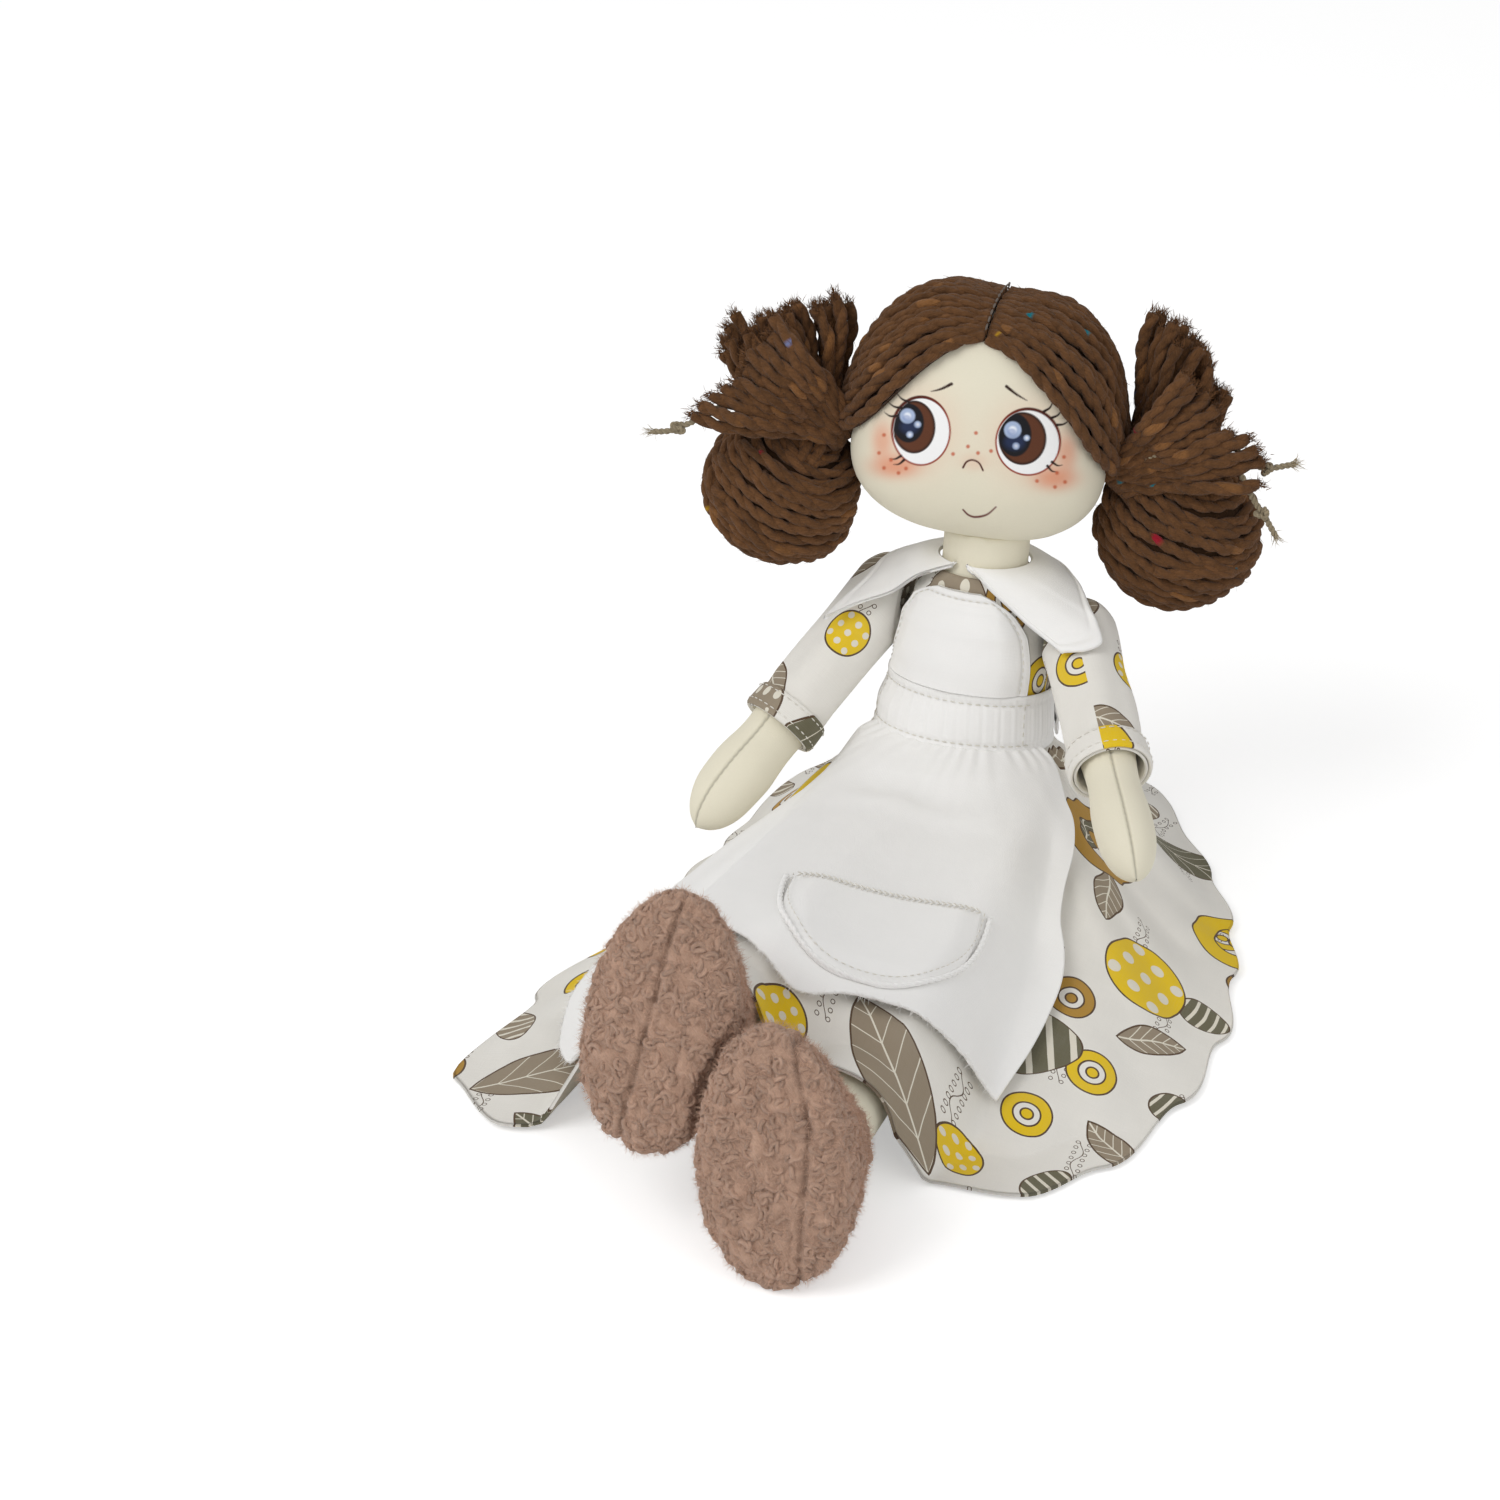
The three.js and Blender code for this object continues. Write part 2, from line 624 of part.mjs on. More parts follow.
// Tie strings: each free end's route is a list of points in the head's own axes, ending in a knot.
const stringRoutes = {
  left_upper: [
    [47.9, -4, 0.3], [47.9, -6.1, 0.4], [48.5, -8.3, 0.8], [49.9, -10.2, 1.7], [52.1, -11.5, 3],
    [54.8, -12.1, 4.4], [57.7, -12.2, 5.9], [60.8, -12.4, 7], [64, -12.5, 7.7], [67.2, -12.5, 7.9],
    [70.2, -12.5, 7.4], [73, -12.5, 6.5], [75.8, -12.4, 5.1], [78.6, -12.3, 3.6], [81.4, -12.2, 2.6],
    [84.4, -12.1, 2.9], [87.6, -12, 4], [90.6, -12, 5.2],
  ],
  left_lower: [
    [46.3, -4, -1.6], [46.2, -6.4, -1.5], [46.7, -8.9, -1.2], [48, -11.3, -0.5], [50.1, -13.3, 0.6],
    [53, -14.7, 2.1], [56.4, -15.5, 3.7], [60, -15.9, 5], [63.6, -16.2, 5.8], [67, -16.3, 5.6],
    [70.2, -16.2, 4.6], [73, -16, 2.9], [75.4, -15.8, 0.6], [77.6, -15.5, -2.2], [79.8, -15.2, -5.2],
    [82.2, -14.9, -8], [85, -14.6, -10.9], [89.4, -14.2, -16.2],
  ],
  right: [
    [-48.6, -4, -2.3], [-48.6, -6.3, -2.2], [-49.3, -8.6, -1.7], [-50.9, -10.7, -0.8], [-53.2, -12.2, 0.4],
    [-56.1, -13.2, 1.5], [-59.3, -13.8, 2.1], [-62.6, -14.2, 2], [-66, -14.4, 1.2], [-69.4, -14.8, -0.8],
    [-72.8, -15, -3.4], [-76.2, -15.1, -6.2], [-79.6, -15.1, -9.1], [-83, -15.1, -11.9],
    [-86.6, -15, -14.4], [-90.4, -15, -16.6], [-95.4, -15, -17.8],
  ],
};
const stringSection = new THREE.Shape().absarc(0, 0, stringRadius, 0, 2 * Math.PI);
for (const [key, route] of Object.entries(stringRoutes)) {
  const path = new THREE.CatmullRomCurve3(route.map(([x, y, z]) => new THREE.Vector3(x, y, z)));
  const tube = new THREE.ExtrudeGeometry(stringSection, {
    steps: 18, curveSegments: 4, bevelEnabled: false, extrudePath: path,
  });
  const knot = new THREE.SphereGeometry(knotRadius, 10, 8)
    .translate(...path.getPointAt(1 - knotFromEnd / path.getLength()));
  add(head, `tie_end_${key}`, geometryOf(solid(tube).add(solid(knot))), string);
}

// Legs and boots

function bootFrame(heel, tilt) {
  return new THREE.Matrix4().compose(
    heel,
    new THREE.Quaternion().setFromEuler(new THREE.Euler(radians(-tilt.back), radians(tilt.roll), 0, "XYZ")),
    new THREE.Vector3(1, 1, 1),
  );
}

// Rows: depth behind the sole, half width, half length and height of the middle, as shares of the boot's.
const bootShares = [
  [-0.06, 0.55, 0.6, 0.5], [-0.04, 0.8, 0.83, 0.5], [0.03, 0.97, 0.97, 0.5], [0.16, 1, 0.95, 0.5],
  [0.34, 0.95, 0.84, 0.485], [0.55, 0.85, 0.66, 0.455], [0.78, 0.74, 0.5, 0.43], [1, 0.68, 0.42, 0.42],
];

const bootSides = 20;

function bootBody() {
  return stack(bootShares.map(([deep, wide, long, middle]) => Array.from({ length: bootSides }, (_, i) => {
    const turn = 2 * Math.PI * i / bootSides;
    const narrow = 1 - 0.1 * Math.sin(turn);
    return new THREE.Vector3(
      Math.cos(turn) * wide * narrow * bootWidth / 2,
      deep * bootDepth,
      middle * bootLength + Math.sin(turn) * long * bootLength / 2,
    );
  })));
}

const legShares = [[0, 0], [0.012, 0.4], [0.035, 0.72], [0.07, 0.94], [0.11, 1], [0.3, 1], [0.55, 0.94],
  [0.8, 0.87], [1, 0.83]];
const legTop = hipRadius + gap + bandThickness + gap;

const legLines = {};
for (const [key, side, heel, tilt] of [["left", 1, leftHeel, leftTilt], ["right", -1, rightHeel, rightTilt]]) {
  const frame = bootFrame(heel, tilt);
  const ankle = new THREE.Vector3(0, bootDepth - bootSocket, ankleHeight).applyMatrix4(frame);
  const top = new THREE.Vector3(side * hipSpacing, -legTop, hipZ);
  const way = ankle.clone().sub(top);
  legLines[key] = { top, ankle, frame };
  const turn = new THREE.Quaternion().setFromUnitVectors(new THREE.Vector3(0, 1, 0), way.clone().normalize());
  const place = new THREE.Matrix4().compose(top, turn, new THREE.Vector3(1, 1, 1));
  const length = way.length();
  add(legs[key], `leg_${key}`, turned([...legShares, [1, 0]], length, legRadius, 18).applyMatrix4(place), skin);
  const socket = turned([[0.7, 0], [0.7, 0.92], [1, 0.83], [1 + gap / length, 0.83], [1 + gap / length, 0]],
    length, legRadius, 18, gap).applyMatrix4(place);
  let boot = solid(bootBody().applyMatrix4(frame)).subtract(solid(socket));
  if (side < 0) {
    const other = bootBody().translate(0, -bootDepth / 2, -bootLength / 2).scale(1.12, 1.06, 1.1)
      .translate(0, bootDepth / 2, bootLength / 2).applyMatrix4(legLines.left.frame);
    boot = boot.subtract(solid(other));
  }
  add(boots[key], `boot_${key}`, geometryOf(boot), wool);
}

// The strip in which both leg tops are caught, round the front of the hips.
function hipBand() {
  const inner = hipRadius + gap;
  const outer = inner + bandThickness;
  const above = Math.PI - radians(bandAbove);
  const below = Math.PI + radians(bandBelow);
  const outline = new THREE.Shape();
  outline.absarc(0, 0, outer, above, below, false);
  outline.absarc(0, 0, inner, below, above, true);
  const strip = new THREE.ExtrudeGeometry(outline, {
    depth: bandHalfWidth * 2, bevelEnabled: false, curveSegments: 10,
  });
  return strip.translate(0, 0, -bandHalfWidth).rotateY(Math.PI / 2).rotateX(Math.PI / 2)
    .translate(0, 0, hipZ);
}

// Skirt: from the waist's ring to a hem on the floor, lifted over the legs.

// Rows: direction in degrees from the doll's left, hem's distance as a share of the reach, hem's lift.
const hemShares = [
  [-180, 0.43], [-166, 0.46], [-150, 0.54], [-138, 0.66], [-129, 0.92], [-122, 1.16], [-115, 1.19], [-108, 1.07],
  [-99, 0.95], [-90, 0.93], [-78, 0.95], [-68, 1.03], [-60, 0.98], [-48, 0.85], [-36, 0.73], [-22, 0.61],
  [-8, 0.53], [12, 0.46], [32, 0.43], [55, 0.46], [90, 0.47], [125, 0.47], [150, 0.44], [180, 0.43],
];

const waistMatrix = new THREE.Matrix4().compose(trunk.position, trunk.quaternion, trunk.scale);
const skirtTop = waistLow - gap;

function waistPoint(turn) {
  const own = turn - radians(trunkYaw);
  return new THREE.Vector3(waistHalfWidth * Math.cos(own), waistHalfDepth * Math.sin(own), skirtTop)
    .applyMatrix4(waistMatrix);
}

const waistMiddle = new THREE.Vector3(0, 0, skirtTop).applyMatrix4(waistMatrix);

// How high the cloth is held over the legs at a place on the floor, and how steeply it falls beside them.
const clothFallShare = 2.3;
const spanSag = 1;
const lapEdge = legRadius * 0.75;
const slide = (aside) => clothFallShare * aside ** 2 / (aside + legRadius * 0.6);

function coverHeight(x, y) {
  const behind = Math.max(0, y - chestHalfDepth / 2);
  const [left, right] = [legLines.left, legLines.right].map(({ top, ankle }) => {
    const share = THREE.MathUtils.clamp((y - top.y) / (ankle.y - top.y), 0, 1.2);
    const middle = THREE.MathUtils.lerp(top.x, ankle.x, share);
    const crown = THREE.MathUtils.lerp(top.z, ankle.z, share) + legRadius + cloth + frontClearance;
    return { middle, crown };
  });
  const beside = [left, right].map(({ middle, crown }) => {
    return crown - slide(Math.max(0, Math.abs(x - middle) - lapEdge) + behind);
  });
  // Between the legs the cloth is stretched from one to the other and sags a little.
  const across = THREE.MathUtils.clamp((x - lapEdge - right.middle) / (left.middle - right.middle), 0, 1);
  const span = THREE.MathUtils.lerp(right.crown, left.crown, across) - spanSag * Math.sin(Math.PI * across);
  const spanned = across > 0 && across < 1 ? span - slide(behind) : 0;
  return Math.max(0, ...beside, spanned);
}

function smoothMax(a, b, width) {
  const share = THREE.MathUtils.clamp(0.5 + (a - b) / (2 * width), 0, 1);
  return b + (a - b) * share + width * share * (1 - share);
}

function skirtPoint(turn, down) {
  const degrees = THREE.MathUtils.radToDeg(Math.atan2(Math.sin(turn), Math.cos(turn)));
  const hem = between(hemShares, degrees) * skirtReach;
  const from = waistPoint(turn);
  const x = THREE.MathUtils.lerp(from.x, waistMiddle.x + hem * Math.cos(turn), down);
  const y = THREE.MathUtils.lerp(from.y, waistMiddle.y + hem * Math.sin(turn), down);
  const folds = Math.sin(8 * turn + 2.2 * down) + 0.5 * Math.sin(5 * turn + 1);
  const tent = hemHeight + (from.z - hemHeight) * (1 - down) ** 1.5;
  const loose = Math.sin(Math.PI * Math.min(1, down * 1.05)) ** 1.5 * foldHeight * 0.5;
  const free = tent + loose * (1 + folds) * 0.7;
  const held = coverHeight(x, y);
  const carried = THREE.MathUtils.lerp(from.z, held, Math.min(1, down * 5));
  const z = down > 0 ? smoothMax(free, carried, lapWidth) : from.z;
  return new THREE.Vector3(x, y, Math.max(z, hemHeight));
}

// The cloth's columns stand closer together in front, where the legs lift it.
const skirtColumns = 52;
const skirtRows = 10;
const frontFirst = -142;
const frontLast = -38;

function columnTurn(u) {
  const round = u - Math.floor(u);
  const wide = frontLast - frontFirst;
  const degrees = round < 0.5
    ? frontFirst + wide * round * 2
    : frontLast + (360 - wide) * (round * 2 - 1);
  return radians(degrees);
}

const skirtSurface = (u, v) => skirtPoint(columnTurn(u), v);
const upFrom = (u, v) => skirtSurface(u, v).sub(new THREE.Vector3(0, -legRadius, -skirtReach / 2));

// A layer of cloth on the skirt's own grid, moved out by an amount and kept off the floor.
function skirtLayer(more, firstColumn = 0, columns = skirtColumns, rows = skirtRows) {
  return (across, along) => {
    const u = (firstColumn + across * columns) / skirtColumns;
    const v = along * rows / skirtRows;
    const moved = skirtSurface(u, v).addScaledVector(normalOf(skirtSurface, u, v, upFrom), more);
    moved.z = Math.max(moved.z, more < 0 ? 0 : hemHeight + more);
    return moved;
  };
}

// A layer over the skirt, cut to an outline on the floor plan.
function laidCloth(under, thickness, outline, firstColumn, columns, rows) {
  const layer = sheet(
    skirtLayer(under + thickness, firstColumn, columns, rows),
    skirtLayer(under, firstColumn, columns, rows),
    columns,
    rows,
  );
  const cutter = new THREE.ExtrudeGeometry(new THREE.Shape(outline), { depth: skirtReach * 2, bevelEnabled: false })
    .translate(0, 0, -skirtReach);
  return solid(layer).intersect(solid(cutter));
}

add(doll, "hip_band", hipBand(), white);
add(doll, "skirt", sheet(skirtLayer(0), skirtLayer(-cloth), skirtColumns, skirtRows, true), print);

// Apron skirt: over the skirt's front, flaring to its hem. Rows: share of the way down, right and left edge.
const apronEdgeShares = [[0, -156, -22], [0.2, -150, -36], [0.45, -138, -56], [0.9, -121, -74]];
const apronHemShares = [[0, 0.76], [0.3, 0.86], [0.6, 0.91], [1, 0.88]];
const apronUnder = 2 * gap;

function apronOutline() {
  const levels = [0.02, 0.14, 0.28, 0.45, 0.63, 0.8, 0.9, 1];
  const edge = (column, hemShare) => levels.map((level) => {
    const down = level * between(apronHemShares, hemShare);
    return skirtPoint(radians(between(apronEdgeShares, down, column)), down);
  });
  const right = edge(1, 0);
  const left = edge(2, 1).toReversed();
  const hem = [0.2, 0.4, 0.6, 0.8].map((share) => {
    const turn = THREE.MathUtils.lerp(apronEdgeShares.at(-1)[1], apronEdgeShares.at(-1)[2], share);
    return skirtPoint(radians(turn), between(apronHemShares, share));
  });
  return [...right, ...hem, ...left, waistMiddle].map((point) => new THREE.Vector2(point.x, point.y));
}

const bandRoom = stack([waistLow - gap, (waistLow + waistHigh) / 2, waistHigh].map(
  (height) => trunkRing(height, bandOut + gap),
)).applyMatrix4(waistMatrix);
add(doll, "apron_skirt", geometryOf(
  laidCloth(apronUnder, thinCloth, apronOutline(), -2, 30, 9).subtract(solid(bandRoom)),
), white);

// Pocket: a half round with its straight edge towards the waist.
const pocketOutline = new THREE.Path().absellipse(
  pocketAside, -pocketForward, pocketHalfWidth, pocketDepth, Math.PI, 2 * Math.PI,
).getPoints(12);
add(doll, "apron_pocket", geometryOf(
  laidCloth(apronUnder + thinCloth + gap, thinCloth, pocketOutline, 3, 20, 9),
), white);

export default doll;
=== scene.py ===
# The looks of a handmade cloth doll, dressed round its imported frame.
# Lengths are millimetres in the frame's axes; MM turns them into metres where a mesh is made.
import math

import bmesh
import bpy
import numpy as np
from mathutils import Matrix, Vector
from mathutils.bvhtree import BVHTree


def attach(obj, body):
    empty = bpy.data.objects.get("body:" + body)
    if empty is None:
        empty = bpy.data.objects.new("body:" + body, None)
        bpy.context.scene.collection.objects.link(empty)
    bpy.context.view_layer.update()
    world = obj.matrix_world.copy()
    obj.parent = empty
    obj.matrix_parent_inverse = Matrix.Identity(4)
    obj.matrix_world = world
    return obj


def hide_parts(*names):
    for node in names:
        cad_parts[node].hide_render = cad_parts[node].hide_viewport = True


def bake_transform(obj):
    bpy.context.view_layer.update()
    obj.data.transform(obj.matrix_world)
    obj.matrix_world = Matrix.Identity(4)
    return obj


MM = 0.001
WELD = 0.004
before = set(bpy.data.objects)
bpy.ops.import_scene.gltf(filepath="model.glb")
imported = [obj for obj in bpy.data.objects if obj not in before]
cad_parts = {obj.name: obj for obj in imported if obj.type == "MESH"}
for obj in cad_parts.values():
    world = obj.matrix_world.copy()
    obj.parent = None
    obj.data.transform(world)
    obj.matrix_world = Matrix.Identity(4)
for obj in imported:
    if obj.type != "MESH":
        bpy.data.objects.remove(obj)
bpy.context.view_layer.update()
scene = bpy.context.scene
scene.view_settings.view_transform = "Standard"

# Pose of the trunk and the head, in degrees
HIP_HEIGHT = 21.5
LEAN_BACK = 9
TRUNK_YAW = -10
HEAD_SHIFT = 4
HEAD_HEIGHT = 123.5
HEAD_TURN = 24
HEAD_PITCH = 7
HEAD_ROLL = 5.5

# Head and hair
HEAD_HALF_WIDTH = 37.3
HEAD_HALF_DEPTH = 29
HEAD_HALF_HEIGHT = 37
HEAD_LOW_HEIGHT = 34
CROWN_TAPER = 0.1
JAW_TAPER = 0.14
YARN = 1.85
YARN_PITCH = 12.5
GATHER = (38, 4, -6)
BUNCH_OUT = 5.5
TIE_FROM = 5.8
TIE_WIDTH = 4
STALK = 6
TASSEL = {"left": (41, 40), "right": (37, 57)}
TASSEL_HALF_WIDTH = 21
TASSEL_HALF_DEPTH = 12
STRING = 1.0
STRING_PITCH = 3.2
KNOT_FROM_END = 8

# Trunk
NECK_BASE = 80.5
CHEST_HALF_WIDTH = 23.5
CHEST_HALF_DEPTH = 18.5
WAIST_LOW = 27
WAIST_HIGH = 45
BODICE_LOW = WAIST_LOW + 0.3
BODICE_TOP = 79.4
BIB_TOP = 75.8
BODICE_OUT = 1.5
BAND_DEPTH = 1.5
BAND_OUT = BODICE_OUT + 0.3 + BAND_DEPTH

# Arms
SHOULDER_HEIGHT = 62.4
SHOULDER_SPREAD = 33
ARM_SIDE = 24.6
ARM_RADIUS = 10
ARM_LENGTH = 92
HAND_FLAT = 0.86
SLEEVE_RADIUS = 11.6
SLEEVE_END = 10.8
SLEEVE_LENGTH = 52
CUFF_LENGTH = 8
ARM_WAY = {"left": (0.55, -0.7, -0.44), "right": (-0.3, -0.66, -0.69)}

# Collar
COLLAR_INNER = 14.2
COLLAR_TOP = 83.0

# Skirt, apron and pocket
SKIRT_REACH = 165
WAIST_HALF_WIDTH = 25
WAIST_HALF_DEPTH = 20.2
FOLD_HEIGHT = 7
HEM_HEIGHT = 1.9
LEG_RADIUS = 15
LEG_CLEAR = 4
LAP_EDGE = LEG_RADIUS * 0.75
LAP_WIDTH = 4
CLOTH_FALL = 2.3
SPAN_SAG = 1
HEM_FALL = 15
SKIRT_CLOTH = 1.0
BODICE_CLOTH = 0.8
BAND_CLOTH = 1.1
BIB_CLOTH = 0.9
COLLAR_CLOTH = 1.3
BAND_END_CLOTH = 0.8
POCKET_CLOTH = 0.7
APRON_OVER = 1.2
APRON_CLOTH = 0.8
POCKET_ASIDE = 6
POCKET_FORWARD = 97
POCKET_HALF_WIDTH = 29
POCKET_DEPTH = 42

# Boots
BOOT_DEPTH = 40
BOOT_HEEL = {"left": (14.5, -216, 0.2), "right": (-28, -204.2, 25.3)}
BOOT_TILT = {"left": (16, -8), "right": (20, 4)}
HIP_SPACING = 17
LEG_TOP = 24.1
ANKLE = (0, 31, 28)

# Stitches: length, gap and radius
PARTING_STITCH = (2.3, 0.5, 0.34)
BAND_STITCH = (1.7, 0.8, 0.2)
BIB_STITCH = (1.5, 0.8, 0.17)
CUFF_STITCH = (1.6, 0.9, 0.2)
OVERLOCK_STITCH = (1.5, 0.15, 0.22)

SIDES = {"left": 1, "right": -1}


def turn_matrix(order, **degrees):
    """Rotations multiplied from left to right in the order given."""
    result = Matrix.Identity(4)
    for axis in order:
        result = result @ Matrix.Rotation(math.radians(degrees.get(axis, 0)), 4, axis)
    return result


TRUNK = Matrix.Translation((0, 0, HIP_HEIGHT)) @ turn_matrix("XYZ", X=-LEAN_BACK, Z=TRUNK_YAW)
HEAD = (TRUNK @ Matrix.Translation((-HEAD_SHIFT, 0, HEAD_HEIGHT))
        @ turn_matrix("ZXY", Z=HEAD_TURN, X=-HEAD_PITCH, Y=HEAD_ROLL))


def between_ways(way, start=(0, 0, 1)):
    return Vector(start).rotation_difference(Vector(way)).to_matrix().to_4x4()


def placed(points, matrix):
    points = np.asarray(points, float)
    m = np.array(matrix)
    return points @ m[:3, :3].T + m[:3, 3]


def unit(vectors):
    vectors = np.asarray(vectors, float)
    return vectors / np.maximum(np.linalg.norm(vectors, axis=-1, keepdims=True), 1e-9)


def turns_of(count):
    """Angles once round, evenly spaced."""
    return 2 * math.pi * np.arange(count) / count


def shares(columns, rows):
    """Two grids (columns, rows) that run from 0 to 1, one along each way."""
    return np.meshgrid(np.linspace(0, 1, columns), np.linspace(0, 1, rows), indexing="ij")


def directions(polar, around):
    return np.stack([np.sin(polar) * np.cos(around), np.sin(polar) * np.sin(around), np.cos(polar)], -1)


def hump(x, middle, width):
    """One at the middle, falling off to zero a few widths away."""
    return np.exp(-((x - middle) / width) ** 2)


def smoothstep(x, low=0.0, high=1.0):
    x = np.clip((np.asarray(x, float) - low) / (high - low), 0, 1)
    return x * x * (3 - 2 * x)


def between(table, at, column=1):
    """Values between the rows of a table of (at, value, ...), smoothly."""
    table = np.asarray(table, float)
    at = np.asarray(at, float)
    row = np.clip(np.searchsorted(table[:, 0], at) - 1, 0, len(table) - 2)
    share = (at - table[row, 0]) / (table[row + 1, 0] - table[row, 0])
    return table[row, column] + (table[row + 1, column] - table[row, column]) * smoothstep(share)


LATTICE = np.random.default_rng(7).uniform(-1, 1, (32, 32, 32))


def noise(points, size, shift=0.0):
    """Smooth noise from -1 to 1 whose bumps are about one size apart."""
    p = np.asarray(points, float) / size + shift
    i = np.floor(p).astype(int)
    f = p - i
    f = f * f * (3 - 2 * f)
    out = np.zeros(p.shape[:-1])
    for corner in range(8):
        step = np.array([corner & 1, corner >> 1 & 1, corner >> 2 & 1])
        weight = np.prod(np.where(step, f, 1 - f), axis=-1)
        k = (i + step) % 32
        out += weight * LATTICE[k[..., 0], k[..., 1], k[..., 2]]
    return out


def drift(points, size, step, shift):
    """Smooth noise along each of the three axes, for points to wander by."""
    return np.stack([noise(points, size, k * step + shift) for k in range(3)], -1)


def curve_through(points, count):
    """Evenly spaced points on a smooth curve through the given ones."""
    points = np.asarray(points, float)
    ends = np.vstack([2 * points[0] - points[1], points, 2 * points[-1] - points[-2]])
    found = []
    for k in range(1, len(ends) - 2):
        a, b, c, d = ends[k - 1:k + 3]
        t = np.linspace(0, 1, 16, endpoint=False)[:, None]
        found.append(0.5 * (2 * b + (c - a) * t + (2 * a - 5 * b + 4 * c - d) * t ** 2
                            + (3 * b - a - 3 * c + d) * t ** 3))
    line = np.vstack([*found, points[-1:]])
    along = np.concatenate([[0], np.cumsum(np.linalg.norm(np.diff(line, axis=0), axis=1))])
    at = np.linspace(0, along[-1], count)
    return np.stack([np.interp(at, along, line[:, k]) for k in range(points.shape[1])], axis=1)


def length_of(line):
    return float(np.linalg.norm(np.diff(line, axis=0), axis=1).sum())


def colour(red, green, blue):
    """A linear colour from one written as on a screen, 0 to 255."""
    c = np.array([red, green, blue]) / 255
    return np.where(c <= 0.04045, c / 12.92, ((c + 0.055) / 1.055) ** 2.4)


# Meshes

class Shape:
    """Points, faces, cloth coordinates and colours gathered for one mesh."""

    def __init__(self):
        self.points, self.faces, self.uvs, self.colours, self.slots = [], [], [], [], []
        self.count = 0

    def add(self, points, faces, tint=None, slot=0, face_uv=None):
        points = np.asarray(points, float).reshape(-1, 3)
        faces = np.asarray(faces, int)
        if face_uv is None:
            face_uv = np.zeros((*faces.shape, 2))
        self.points.append(points)
        self.faces.append(faces + self.count)
        self.uvs.append(face_uv.reshape(-1, 2))
        self.colours.append(np.broadcast_to(1.0 if tint is None else tint, (len(points), 3)))
        self.slots.append(np.full(len(faces), slot))
        self.count += len(points)
        return self

    def grid(self, points, uv=None, wrap=False, flip=False, tint=None, slot=0):
        """Points laid out (columns, rows, 3); uv has one more column where the grid wraps round."""
        columns, rows = points.shape[:2]
        i, j = np.meshgrid(np.arange(columns - (not wrap)), np.arange(rows - 1), indexing="ij")
        here, there = i * rows + j, (i + 1) % columns * rows + j
        faces = np.stack([here, there, there + 1, here + 1], -1).reshape(-1, 4)
        face_uv = None
        if uv is not None:
            face_uv = np.stack([uv[i, j], uv[i + 1, j], uv[i + 1, j + 1], uv[i, j + 1]], -2).reshape(-1, 4, 2)
        if flip:
            faces = faces[:, ::-1]
            face_uv = None if face_uv is None else face_uv[:, ::-1]
        return self.add(points, faces, tint=tint, slot=slot, face_uv=face_uv)

    def build(self, name, *materials, weld=False):
        mesh = bpy.data.meshes.new(name)
        points = np.vstack(self.points)
        mesh.vertices.add(len(points))
        mesh.vertices.foreach_set("co", (points * MM).astype(np.float32).ravel())
        loops = np.concatenate([f.ravel() for f in self.faces])
        sizes = np.concatenate([np.full(len(f), f.shape[1]) for f in self.faces])
        mesh.loops.add(len(loops))
        mesh.loops.foreach_set("vertex_index", loops.astype(np.int32))
        mesh.polygons.add(len(sizes))
        mesh.polygons.foreach_set("loop_start", np.concatenate([[0], np.cumsum(sizes)[:-1]]).astype(np.int32))
        mesh.update(calc_edges=True)
        mesh.polygons.foreach_set("use_smooth", np.full(len(sizes), True))
        mesh.polygons.foreach_set("material_index", np.concatenate(self.slots).astype(np.int32))
        layer = mesh.uv_layers.new(name="cloth")
        layer.data.foreach_set("uv", np.vstack(self.uvs).astype(np.float32).ravel())
        tint = mesh.color_attributes.new("tint", "FLOAT_COLOR", "POINT")
        rgba = np.ones((len(points), 4), np.float32)
        rgba[:, :3] = np.vstack(self.colours)
        tint.data.foreach_set("color", rgba.ravel())
        if weld:
            work = bmesh.new()
            work.from_mesh(mesh)
            bmesh.ops.remove_doubles(work, verts=work.verts, dist=WELD * MM)
            work.to_mesh(mesh)
            work.free()
        mesh.validate()
        for item in materials:
            mesh.materials.append(item)
        piece = bpy.data.objects.new(name, mesh)
        scene.collection.objects.link(piece)
        return piece


def normals_of(grid, wrap=False):
    """Normals of a grid of points (columns, rows, 3), by differences."""
    if wrap:
        across = np.roll(grid, -1, 0) - np.roll(grid, 1, 0)
    else:
        across = np.gradient(grid, axis=0)
    return unit(np.cross(across, np.gradient(grid, axis=1)))


def round_uv(turn, along, radius):
    """Cloth coordinates of a grid that wraps round, with one more column to close it."""
    closed = np.append(turn, turn[:1] + 2 * math.pi, axis=0)
    return np.stack([closed * radius, np.append(along, along[:1], axis=0)], -1)


def rim_faces(top, under, middle):
    """Bands between two rows of indices by way of a middle row; each row is a closed or open line."""
    bands = []
    for a, b in ((top, middle), (middle, under)):
        bands.append(np.stack([a[:-1], a[1:], b[1:], b[:-1]], -1))
    return np.vstack(bands)


FLOOR_CLEAR = 0.12
EDGE_ROUND = 0.45


